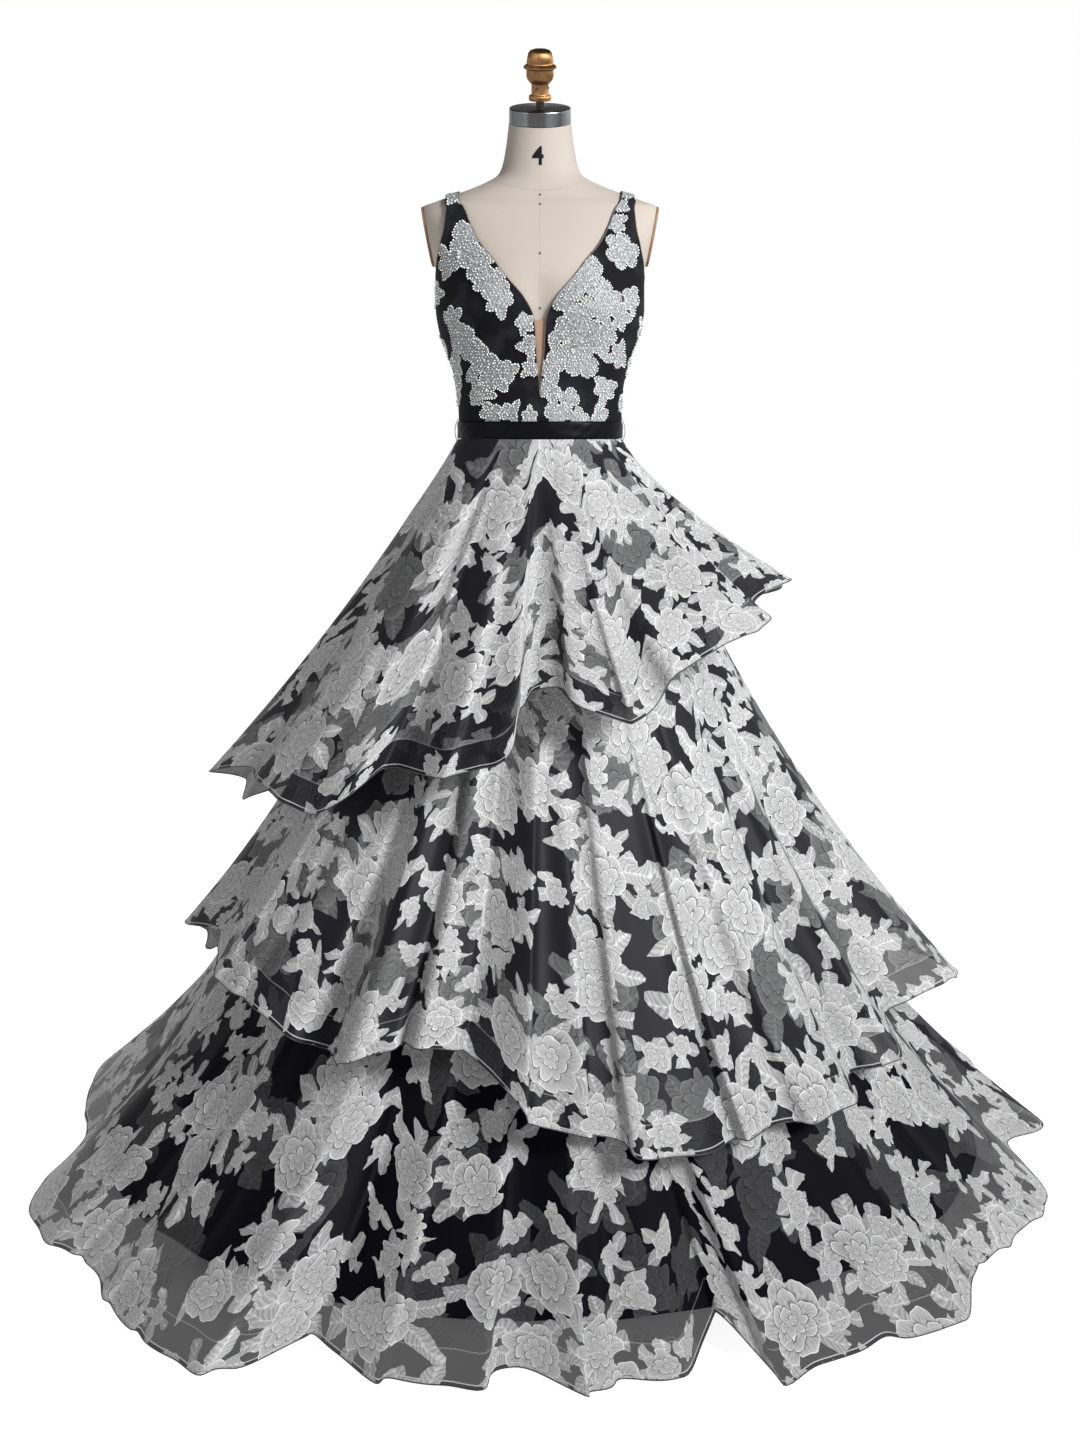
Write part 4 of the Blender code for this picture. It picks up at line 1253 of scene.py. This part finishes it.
@dataclass(frozen=True)
class Panel:
    """One velvet panel of the bodice, with its lace and beads."""

    face: Face
    side: Side
    lace: Sequence[Motif]
    columns: int = 110
    rows: int = 170
    seam: float = 0.0003
    gap: float = 0.0030
    wall: float = 0.0014
    lace_rise: float = 0.0009
    strap_in: float = 0.1225
    strap_out: float = 0.1410
    strap_seat: float = 0.0007
    strap_from: float = 1.470
    strap_to: float = 1.484
    waist: float = 1.125
    bust: float = 1.31
    binding: float = 0.0009
    binding_sunk: float = 0.0005
    arm_from: float = 1.345

    @property
    def name(self) -> str:
        """The CAD node's name."""
        return f"bodice_{self.face.value}_{self.side.name.lower()}"

    def flowers(self) -> list[Petals]:
        """The panel's lace flowers."""
        return [Petals(motif, i) for i, motif in enumerate(self.lace)]

    def edges(self) -> tuple[Array, Array]:
        """Neck edge and arm edge as rows of turn and height."""
        rows = BODICE_FRONT if self.face is Face.FRONT else BODICE_BACK
        face = self.face.value
        half_seam = float(np.degrees(np.arcsin(0.5 * self.seam / BODY.size("side", self.waist))))
        neck, arm = [], []
        for row in rows:
            neck.append((BODY.azimuth_of(row.neck_x, row.neck_z, face), row.neck_z))
            out = 90 - half_seam if row.side else BODY.azimuth_of(row.arm_x, row.arm_z, face)
            arm.append((out, row.arm_z))
        for azimuth in STRAP_AZIMUTHS:
            neck.append((azimuth, BODY.shoulder_height(self.strap_in, azimuth)))
            arm.append((azimuth, BODY.shoulder_height(self.strap_out, azimuth)))
        marks = np.arange(len(neck))
        at = np.linspace(0, len(neck) - 1, self.rows + 1)
        curves = [[monotone(marks, values, at) for values in zip(*edge)] for edge in (neck, arm)]
        return np.array(curves[0]).T, np.array(curves[1]).T

    def seat(self, z: Array) -> Array:
        """How far the velvet's outer face stands off the torso."""
        strap = smooth_step(self.strap_from, self.strap_to, z)
        return self.gap + (self.strap_seat - self.gap) * strap + self.wall

    def laced(self, turn: Array, z: Array) -> tuple[Array, Array]:
        """Lace at points of the panel.

        Args:
            turn: Turns from the middle of the panel's face.
            z: Heights.

        Returns:
            How far each point lies inside the lace, and the lace's tone.
        """
        s = turn / 90.0 * BODY.quarter_girth(z)
        depth, tone = np.full(z.shape, -1.0), np.zeros(z.shape)
        for flower in self.flowers():
            inside = flower.inside(s, z)
            tone = np.where(inside > depth, flower.tone(s, z), tone)
            depth = np.maximum(depth, inside)
        return depth, tone

    def azimuth(self, turn: Array) -> Array:
        """Azimuth of a turn from the middle of the panel's face."""
        return self.side.value * (180 - turn if self.face is Face.BACK else turn)

    def build(self) -> None:
        """Build the velvet, its bindings and its beads."""
        neck, arm = self.edges()
        across = np.linspace(0, 1, self.columns + 1)[None, :]
        turn = neck[:, :1] + (arm[:, :1] - neck[:, :1]) * across
        z = neck[:, 1:] + (arm[:, 1:] - neck[:, 1:]) * across
        depth, tone = self.laced(turn, z)
        lace = smooth_step(-0.0012, 0.0010, depth)
        lift = self.seat(z) + self.lace_rise * lace
        points = BODY.point(z, self.azimuth(turn), lift)
        if (self.side is Side.RIGHT) != (self.face is Face.BACK):
            points, lace, tone = points[:, ::-1], lace[:, ::-1], tone[:, ::-1]
        mesh = lay_grid(self.name + "_velvet", points, weights={"lace": lace, "tone": tone})
        velvet = add_piece(self.name + "_velvet", mesh, VELVET, [self.name])
        trims = []
        neck_from = 1.176 if self.face is Face.FRONT else 1.20
        for key, line, low in (("neck", neck, neck_from), ("arm", arm, self.arm_from)):
            turn_kept, z_kept = line[line[:, 1] > low].T
            path = BODY.point(z_kept, self.azimuth(turn_kept), self.seat(z_kept) - self.binding_sunk)
            name = f"{self.name}_{key}_binding"
            trim = tube(name, path, self.binding, closed=False)
            trims.append(add_piece(name, trim, BINDING))
        trims += Beadwork(self).build(neck, arm)
        area = self.area(points)
        height = float(z.max() - z.min())
        width = max(float(BODY.quarter_girth(self.bust)), area / height * 1.001)
        LOG.info("%s is cut %.3f by %.3f m, %.4f square metres", self.name, width, height, area)

    def area(self, points: Array) -> float:
        """Area of a grid of points."""
        along = np.diff(points, axis=1)[:-1]
        up = np.diff(points, axis=0)[:, :-1]
        return float(np.linalg.norm(np.cross(along, up), axis=-1).sum())


@dataclass(frozen=True)
class Beadwork:
    """Pearls along the lace's edges, and pearls and crystals over its petals."""

    panel: Panel
    pearl: float = 0.00132
    small: float = 0.00115
    edge_step: float = 0.0041
    fill_step: float = 0.0053
    jitter: float = 0.0011
    kept_share: float = 0.78
    raised: float = 0.55
    margin: float = 0.0018
    lowest: float = 1.142
    highest: float = 1.478
    crystals: float = 0.28

    def along_edges(self) -> Array:
        """Bead places along the outlines that aren't covered by another flower."""
        found = []
        flowers = self.panel.flowers()
        for flower in flowers:
            turn = np.linspace(0, 2 * pi, 721)[:-1]
            edge = flower.outline(turn) - self.pearl * 0.6
            angle = turn - flower.index * 1.7
            s = flower.motif.s + edge * np.cos(angle)
            z = flower.motif.z + edge * np.sin(angle)
            walked = np.concatenate([[0], np.cumsum(np.hypot(np.diff(s), np.diff(z)))])
            count = int(walked[-1] / self.edge_step)
            picks = np.searchsorted(walked, np.linspace(0, walked[-1], count, endpoint=False))
            s, z = s[picks], z[picks]
            covered = np.zeros(len(s), bool)
            for other in flowers:
                if other is not flower:
                    covered |= other.inside(s, z) > self.pearl
            found.append(np.stack([s, z], axis=1)[~covered])
        return np.concatenate(found)

    def over_petals(self, random: np.random.Generator) -> Array:
        """Scattered bead places inside the lace."""
        s, z = np.meshgrid(np.arange(0, 0.26, self.fill_step), np.arange(1.11, 1.50, self.fill_step * 0.87))
        s = s + (np.arange(len(s)) % 2)[:, None] * self.fill_step / 2
        s = s + random.uniform(-self.jitter, self.jitter, s.shape)
        z = z + random.uniform(-self.jitter, self.jitter, z.shape)
        depth = np.max([flower.inside(s, z) for flower in self.panel.flowers()], axis=0)
        kept = (depth > self.pearl * 2.2) & (random.uniform(size=s.shape) < self.kept_share)
        return np.stack([s[kept], z[kept]], axis=1)

    def on_panel(self, beads: Array, neck: Array, arm: Array) -> Array:
        """Turn and height of the beads that lie on the panel."""
        turn = beads[:, 0] / BODY.quarter_girth(beads[:, 1]) * 90
        low = np.interp(beads[:, 1], neck[:, 1], neck[:, 0])
        high = np.interp(beads[:, 1], arm[:, 1], arm[:, 0])
        edge = self.margin / BODY.quarter_girth(beads[:, 1]) * 90
        level = (beads[:, 1] > self.lowest) & (beads[:, 1] < self.highest)
        kept = (turn > low + edge) & (turn < high - edge) & level
        return np.stack([turn[kept], beads[kept, 1]], axis=1)

    def thread(self, name: str, beads: Array, radius: Array, detail: int, finish: Finish) -> bpy.types.Object:
        """Join copies of one bead at given places.

        Args:
            name: The piece's name.
            beads: Turn and height of each bead.
            radius: Radius of each bead.
            detail: Subdivisions of the bead.
            finish: What the beads are made of.

        Returns:
            The piece.
        """
        form = bmesh.new()
        bmesh.ops.create_icosphere(form, subdivisions=detail, radius=1.0)
        ball = np.array([vert.co for vert in form.verts])
        faces = np.array([[vert.index for vert in face.verts] for face in form.faces])
        form.free()
        panel = self.panel
        lift = panel.seat(beads[:, 1]) + panel.lace_rise + radius * self.raised
        middle = BODY.point(beads[:, 1], panel.azimuth(beads[:, 0]), lift)
        points = (middle[:, None] + ball[None] * radius[:, None, None]).reshape(-1, 3)
        joined = (faces[None] + (np.arange(len(beads)) * len(ball))[:, None, None]).reshape(-1, 3)
        mesh = bpy.data.meshes.new(name)
        mesh.from_pydata(points.tolist(), [], joined.tolist())
        if finish is PEARL:
            mesh.shade_smooth()
        return add_piece(name, mesh, finish)

    def build(self, neck: Array, arm: Array) -> list[bpy.types.Object]:
        """Build the panel's pearls and crystals.

        Args:
            neck: The panel's neck edge.
            arm: The panel's arm edge.

        Returns:
            The two pieces.
        """
        random = np.random.default_rng(len(self.panel.name) * 7 + self.panel.side.value)
        edge = self.on_panel(self.along_edges(), neck, arm)
        fill = self.on_panel(self.over_petals(random), neck, arm)
        cut = random.uniform(size=len(fill)) < self.crystals
        pearls = np.concatenate([edge, fill[~cut]])
        size = np.where(np.arange(len(pearls)) < len(edge), self.pearl, self.small)
        size = size * random.uniform(0.85, 1.12, len(pearls))
        faceted = fill[cut]
        shine = self.small * random.uniform(0.9, 1.3, len(faceted))
        name = self.panel.name
        return [
            self.thread(f"{name}_pearls", pearls, size, 2, PEARL),
            self.thread(f"{name}_crystals", faceted, shine, 1, CRYSTAL),
        ]


@dataclass(frozen=True)
class Insert:
    """The nude net that fills the foot of the V."""

    low: float = 1.176
    high: float = 1.286
    underlap: float = 0.008
    lift: float = 0.0019
    columns: int = 24
    rows: int = 60

    def build(self) -> None:
        """Build the net."""
        z = np.linspace(self.low, self.high, self.rows + 1)[:, None]
        half = monotone(column(BODICE_FRONT, "neck_z"), column(BODICE_FRONT, "neck_x"), z) + self.underlap
        edge = zip(half.ravel().tolist(), z.ravel().tolist())
        reach = np.array([[BODY.azimuth_of(x, height, "front")] for x, height in edge])
        turn = reach * np.linspace(-1, 1, self.columns + 1)[None, :]
        points = BODY.point(z + 0 * turn, turn, self.lift)
        mesh = lay_grid("mesh_insert_net", points)
        net = add_piece("mesh_insert_net", mesh, NUDE, ["mesh_insert"])


@dataclass(frozen=True)
class Belt:
    """The flat satin belt and the thread carriers at its sides."""

    waist: float = 1.125
    height: float = 0.027
    gap: float = 0.0056
    wall: float = 0.0015
    edge_roll: float = 0.0012
    columns: int = 256
    rows: int = 10
    carrier: float = 0.0006
    carrier_azimuth: float = 88.0
    carrier_seat: float = 0.0045
    carrier_bow: float = 0.0062

    def build(self) -> None:
        """Build the belt and its two carriers."""
        azimuth = np.linspace(-180, 180, self.columns + 1)[None, :]
        share = np.linspace(-0.5, 0.5, self.rows + 1)[:, None]
        z = self.waist + self.height * share + 0 * azimuth
        turn = np.broadcast_to(azimuth, z.shape)
        broad = 0.0003 * np.sin(np.radians(turn) * 9 + share * 5)
        fine = 0.0002 * np.sin(np.radians(turn) * 31 - share * 9)
        lift = self.gap + self.wall + (broad + fine) - self.edge_roll * (2 * share) ** 4
        points = BODY.point(z, turn, lift)
        mesh = lay_grid("waist_belt_satin", points, merge=True)
        belt = add_piece("waist_belt_satin", mesh, BELT_SATIN, ["waist_belt"])
        wall = belt.modifiers.new("wall", "SOLIDIFY")
        wall.thickness = self.wall
        wall.offset = -1.0
        around = float(np.linalg.norm(np.diff(points[self.rows // 2], axis=0), axis=-1).sum())
        loops = [self.build_carrier(side) for side in Side]

    def build_carrier(self, side: Side) -> bpy.types.Object:
        """Build the thread loop at one side."""
        share = np.linspace(0, 1, 25)
        z = self.waist + (self.height / 2 + 0.004) - share * (self.height + 0.010)
        bow = np.sin(share * pi) ** 0.7
        lift = self.carrier_seat + self.carrier_bow * bow
        path = BODY.point(z, np.full_like(z, side.value * self.carrier_azimuth), lift)
        name = f"belt_carrier_{side.name.lower()}"
        return add_piece(name, tube(name, path, self.carrier, closed=False), THREAD)


@dataclass(frozen=True)
class DressForm:
    """The padded torso, its arm plates, number, seams, pins, neck cap, finial and stand."""

    columns: int = 200
    rows: int = 150
    cut_x: float = 0.158
    cut_z: float = 1.353
    cut_lean: float = 0.175
    cut_floor: float = 1.349
    plate: float = 0.004
    plate_share: float = 0.985
    plate_edge: float = 0.0012
    seam: float = 0.0003
    number_height: float = 0.0310
    number_z: float = 1.5295
    number_turn: float = -3.2
    number_width_share: float = 0.74
    number_bold: float = 0.0008
    number_depth: float = 0.0001
    number_lift: float = 0.0003
    figure_share: float = 0.7
    neck_radius: float = 0.050
    neck_seam_z: float = 1.511
    neck_seam_dip: float = 0.033
    neck_thread: float = 0.0004
    seam_thread: float = 0.0003
    seam_top: float = 1.584
    pin_radius: float = 0.0016
    pin_lift: float = 0.0004
    pin_heights: tuple[float, ...] = (1.471, 1.456, 1.382, 1.303)

    def build(self) -> None:
        """Build every part of the form."""
        self.build_torso()
        self.build_seams()
        self.build_number()
        self.build_pins()
        self.build_cap()
        self.build_finial()
        self.build_stand()

    def build_torso(self) -> None:
        """Build the linen torso with its flat arm cuts, and the plates that close them."""
        knots = np.array(column(TORSO, "z"))
        marks = np.interp(np.linspace(0, 1, self.rows + 1), np.linspace(0, 1, len(knots)), knots)
        azimuth = np.linspace(-180, 180, self.columns + 1)[None, :]
        z = marks[:, None] + 0 * azimuth
        turn = np.broadcast_to(azimuth, z.shape)
        mesh = lay_grid("form_torso_linen", BODY.point(z, turn), merge=True)
        with editing(mesh) as form:
            bmesh.ops.holes_fill(form, edges=[edge for edge in form.edges if edge.is_boundary])
            for side in Side:
                self.cut_arm(form, side)
            bmesh.ops.recalc_face_normals(form, faces=form.faces)
        shade(mesh, 38)
        add_piece("form_torso_linen", mesh, LINEN, ["form_torso"])

    def cut_arm(self, form: bmesh.types.BMesh, side: Side) -> None:
        """Cut the torso flat where an arm would start, and build the plate that closes the cut.

        Args:
            form: The torso.
            side: The wearer's side.
        """
        point = Vector((side.value * self.cut_x, 0.0, self.cut_z))
        normal = Vector((side.value, 0.0, -self.cut_lean)).normalized()
        shoulder = [face for face in form.faces if min(vert.co.z for vert in face.verts) > self.cut_floor]
        parts = list({part for face in shoulder for part in (face, *face.edges, *face.verts)})
        cut = bmesh.ops.bisect_plane(
            form, geom=parts, dist=MERGE, plane_co=point, plane_no=normal, clear_outer=True
        )
        rim = [part for part in cut["geom_cut"] if isinstance(part, bmesh.types.BMEdge)]
        flat = bmesh.ops.edgeloop_fill(form, edges=rim)["faces"][0]
        self.build_plate(side, [vert.co.copy() for vert in flat.verts], normal)

    def build_plate(self, side: Side, outline: Sequence[Vector], normal: Vector) -> None:
        """Build one arm plate with a rounded edge.

        Args:
            side: The wearer's side.
            outline: The arm cut's corners.
            normal: The cut's outward normal.
        """
        middle = sum(outline, Vector()) / len(outline)
        name = f"arm_plate_{side.name.lower()}"
        mesh = bpy.data.meshes.new(name + "_board")
        with editing(mesh) as form:
            lift = normal * self.seam
            rim = [form.verts.new(middle + (corner - middle) * self.plate_share + lift) for corner in outline]
            flat = form.faces.new(rim)
            grown = bmesh.ops.extrude_face_region(form, geom=[flat])
            moved = {part for part in grown["geom"] if isinstance(part, bmesh.types.BMVert)}
            bmesh.ops.translate(form, verts=list(moved), vec=normal * self.plate)
            edges = [edge for edge in form.edges if all(vert in moved for vert in edge.verts)]
            bmesh.ops.bevel(
                form, geom=edges, offset=self.plate_edge, segments=3, affect="EDGES", profile=0.5, material=-1
            )
            bmesh.ops.recalc_face_normals(form, faces=form.faces)
        shade(mesh, 30)
        add_piece(name + "_board", mesh, BOARD, [name])

    def build_seams(self) -> None:
        """Build the neck seam and the centre, shoulder and back seams of the linen."""
        turn = np.linspace(-180, 180, 121)[:-1]
        ring = BODY.point(self.neck_seam_z - self.neck_seam_dip * np.cos(np.radians(turn)), turn, -0.0001)
        cord = tube("linen_seam_neck", ring, self.neck_thread, closed=True)
        add_piece("linen_seam_neck", cord, LINEN_SEAM)
        for name, azimuth, low in (
            ("front", 0.0, 1.288),
            ("back", 180.0, 1.245),
            ("left", 90.0, 1.492),
            ("right", -90.0, 1.492),
        ):
            z = np.linspace(low, self.seam_top, 80)
            line = BODY.point(z, np.full_like(z, azimuth), -0.00012)
            cord = tube(f"seam_{name}", line, self.seam_thread, closed=False)
            add_piece(f"linen_seam_{name}", cord, LINEN_SEAM)

    def build_number(self) -> None:
        """Print the plain size number on the neck's front."""
        words = bpy.data.curves.new("size_number", "FONT")
        words.body = "4"
        words.size = self.number_height / self.figure_share
        words.align_x = "CENTER"
        words.align_y = "CENTER"
        words.offset = self.number_bold
        words.extrude = self.number_depth
        shaped = bpy.data.objects.new("size_number", words)
        bpy.context.scene.collection.objects.link(shaped)
        bpy.context.view_layer.update()
        mesh = bpy.data.meshes.new_from_object(shaped.evaluated_get(bpy.context.evaluated_depsgraph_get()))
        bpy.data.objects.remove(shaped, do_unlink=True)
        with editing(mesh) as form:
            bmesh.ops.subdivide_edges(form, edges=form.edges, cuts=4, use_grid_fill=True)
            for vert in form.verts:
                z = self.number_z + vert.co.y
                turn = np.degrees(vert.co.x * self.number_width_share / self.neck_radius) + self.number_turn
                vert.co = Vector(BODY.point(z, turn, self.number_lift + vert.co.z).tolist())
            bmesh.ops.recalc_face_normals(form, faces=form.faces)
        add_piece("size_number", mesh, INK)

    def build_pins(self) -> None:
        """Build the small pin heads down the centre front."""
        mesh = bpy.data.meshes.new("centre_pins")
        with editing(mesh) as form:
            for z in self.pin_heights:
                spot = Matrix.Translation(BODY.point(z, 0.0, self.pin_lift).tolist())
                bmesh.ops.create_uvsphere(
                    form, u_segments=16, v_segments=10, radius=self.pin_radius, matrix=spot
                )
        mesh.shade_smooth()
        add_piece("centre_pins", mesh, PIN_IRON)

    def build_cap(self) -> None:
        """Build the steel neck cap with its rounded top edge."""
        profile = [
            (0.0, 0.0220),
            (0.0440, 0.0220),
            (0.0456, 0.0217),
            (0.0464, 0.0208),
            (0.0467, 0.0192),
            (0.0470, 0.0020),
            (0.0468, 0.0006),
            (0.0462, 0.0),
            (0.0, 0.0),
        ]
        cap = turned("neck_cap_steel", profile, self.seam, 160)
        self.add_on_neck("neck_cap_steel", cap, STEEL, ["neck_cap"])

    def build_finial(self) -> None:
        """Build the turned brass finial, its set screws and the dark rod under it."""
        low = 0.022 + 2 * self.seam
        dome = [(0.0, 0.0830), (0.0085, 0.0826), (0.0145, 0.0808), (0.0176, 0.0770), (0.0190, 0.0710)]
        groove = [(0.0202, 0.0645), (0.0199, 0.0630), (0.0207, 0.0612)]
        flange = [(0.0238, 0.0592), (0.0249, 0.0578), (0.0248, 0.0562), (0.0234, 0.0549), (0.0205, 0.0538)]
        bulb = [(0.0203, 0.0520), (0.0207, 0.0480), (0.0205, 0.0445), (0.0196, 0.0412), (0.0176, 0.0378)]
        stem = [(0.0150, 0.0350), (0.0132, 0.0335), (0.0129, 0.0320), (0.0129, 0.0194), (0.0135, 0.0180)]
        collar = [(0.0160, 0.0173), (0.0168, 0.0160), (0.0170, 0.0138), (0.0169, 0.0112), (0.0162, 0.0098)]
        foot = [(0.0056, 0.0094), (0.0054, 0.0), (0.0, 0.0)]
        profile = [*dome, *groove, *flange, *bulb, *stem, *collar, *foot]
        body = turned("finial_brass", profile, low, 96)
        self.add_on_neck("finial_brass", body, BRASS, ["finial"])
        screws = bpy.data.meshes.new("finial_screws")
        with editing(screws) as form:
            for turn in (-20.0, 82.0):
                turned_out = Matrix.Rotation(radians(turn), 4, "Z") @ Matrix.Rotation(radians(90), 4, "X")
                at = Matrix.Translation(place(0.0130, turn, low + 0.0280).tolist()) @ turned_out
                bmesh.ops.create_cone(
                    form, cap_ends=True, segments=20, radius1=0.0022, radius2=0.0019, depth=0.0016, matrix=at
                )
        self.add_on_neck("finial_screws", screws, IRON)
        sides = [(0.0, 0.0093), (0.0060, 0.0093), (0.0060, 0.0002), (0.0, 0.0002)]
        self.add_on_neck("finial_rod", turned("finial_rod", sides, low, 48), IRON)

    def add_on_neck(
        self, name: str, mesh: bpy.types.Mesh, finish: Finish, nodes: Sequence[str] = ()
    ) -> None:
        """Add a piece whose mesh is measured from the middle of the tilted neck's top."""
        mesh.transform(BODY.neck_frame())
        add_piece(name, mesh, finish, nodes)

    def build_stand(self) -> None:
        """Finish the stand's own solids in black paint."""
        for name in ("stand_pole", "stand_base"):
            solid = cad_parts[name]
            solid.data.materials.clear()
            solid.data.materials.append(PAINT.material())


@dataclass(frozen=True)
class Studio:
    """The plain pale floor, the soft light and the camera."""

    camera_y: float = -2.714
    camera_z: float = 1.13
    pitch: float = 9.7
    focal: float = 1712.0
    picture_height: float = 1439.0
    sensor: float = 36.0
    floor: float = 14.0
    floor_glow: float = 0.88
    zenith: float = 0.10
    fade_from: float = 0.24
    fade_to: float = 0.50
    beam: float = 60.0

    def build(self) -> None:
        """Build the floor, the world, the lamps and the camera."""
        scene = bpy.context.scene
        scene.view_settings.view_transform = "Standard"
        scene.cycles.max_bounces = 4
        scene.cycles.diffuse_bounces = 1
        scene.cycles.glossy_bounces = 2
        scene.cycles.transparent_max_bounces = 16
        self.build_floor()
        self.build_world(scene)
        self.build_lamp("key", (3.5, -3.5, 3.5), 1.6, 80.0, WHITE, (0.0, 0.0, 1.38))
        self.build_lamp("fill", (-4.2, -3.4, 2.6), 2.2, 5.0, (1.0, 0.97, 0.93), (0.0, 0.0, 1.30))
        back = self.build_lamp("back", (0.8, 4.8, 3.7), 2.0, 40.0, WHITE, (0.0, 0.0, 1.0))
        back.visible_glossy = False
        self.build_camera(scene)

    def build_floor(self) -> None:
        """Build the floor as a wide disc."""
        mesh = bpy.data.meshes.new("floor")
        with editing(mesh) as form:
            bmesh.ops.create_circle(form, cap_ends=True, segments=96, radius=self.floor)
        paper = PAPER.material()
        glow = paper.node_tree.nodes["Principled BSDF"]
        glow.inputs["Emission Color"].default_value = (*WHITE, 1.0)
        glow.inputs["Emission Strength"].default_value = self.floor_glow
        mesh.materials.append(paper)
        floor = bpy.data.objects.new("floor", mesh)
        bpy.context.scene.collection.objects.link(floor)

    def build_world(self, scene: bpy.types.Scene) -> None:
        """Set a white surround that fades overhead."""
        world = bpy.data.worlds.new("surround")
        world.use_nodes = True
        tree = world.node_tree
        toward = tree.nodes.new("ShaderNodeTexCoord")
        parts = tree.nodes.new("ShaderNodeSeparateXYZ")
        fade = tree.nodes.new("ShaderNodeMapRange")
        ends = {"From Min": self.fade_from, "From Max": self.fade_to, "To Min": 1.0, "To Max": self.zenith}
        for name, value in ends.items():
            fade.inputs[name].default_value = value
        tree.links.new(toward.outputs["Generated"], parts.inputs["Vector"])
        tree.links.new(parts.outputs["Z"], fade.inputs["Value"])
        tree.links.new(fade.outputs["Result"], tree.nodes["Background"].inputs["Strength"])
        tree.nodes["Background"].inputs["Color"].default_value = (*WHITE, 1.0)
        scene.world = world

    def build_lamp(
        self, name: str, spot: Color, size: float, power: float, color: Color, target: Color
    ) -> bpy.types.Object:
        """Add a soft square lamp with a grid that narrows its beam.

        Args:
            name: The lamp's name.
            spot: Where it stands.
            size: Length of its side.
            power: Its power in watts.
            color: Its colour.
            target: The point that it is turned to.

        Returns:
            The lamp.
        """
        light = bpy.data.lights.new(name, "AREA")
        light.spread = radians(self.beam)
        light.size = size
        light.energy = power
        light.color = color
        lamp = bpy.data.objects.new(name, light)
        lamp.location = spot
        aim = Vector(target) - Vector(spot)
        lamp.rotation_euler = aim.to_track_quat("-Z", "Y").to_euler()
        bpy.context.scene.collection.objects.link(lamp)
        return lamp

    def build_camera(self, scene: bpy.types.Scene) -> None:
        """Put the camera where the photograph was taken from."""
        lens = bpy.data.cameras.new("camera")
        lens.sensor_width = self.sensor
        lens.lens = self.focal / self.picture_height * self.sensor
        camera = bpy.data.objects.new("camera", lens)
        camera.location = (0.0, self.camera_y, self.camera_z)
        camera.rotation_euler = (radians(90 - self.pitch), 0.0, 0.0)
        scene.collection.objects.link(camera)
        scene.camera = camera


def tiers() -> list[Tier]:
    """The three tiers, from the waist down."""
    return [
        Tier("skirt_tier_1", HEM_1, FLUTES_1, SKIRT.top, 0.0, 1.75, 1.15, 0.0024, ORGANZA),
        Tier("skirt_tier_2", HEM_2, FLUTES_2, 0.862, 0.068, 2.15, 1.25, 0.0010, ORGANZA),
        # The lowest tier wears the darker organza copy, which paints its shade.
        Tier("skirt_tier_3", HEM_3, FLUTES_3, 0.445, 0.0, 2.15, 1.35, 0.0010, ORGANZA_SHADED_LOW),
    ]


def panels() -> list[Panel]:
    """The bodice's four panels."""
    return [
        Panel(Face.FRONT, Side.LEFT, LACE_FRONT_LEFT),
        Panel(Face.FRONT, Side.RIGHT, LACE_FRONT_RIGHT),
        Panel(Face.BACK, Side.LEFT, LACE_BACK),
        Panel(Face.BACK, Side.RIGHT, LACE_BACK),
    ]


def main() -> None:
    """Build the dress, its form and the studio."""
    logging.basicConfig(level=logging.INFO, format="%(name)s: %(message)s")
    DressForm().build()
    Insert().build()
    for panel in panels():
        panel.build()
    Belt().build()
    Lining().build()
    for tier in tiers():
        tier.build()
    Studio().build()


if __name__ == "__main__":
    main()
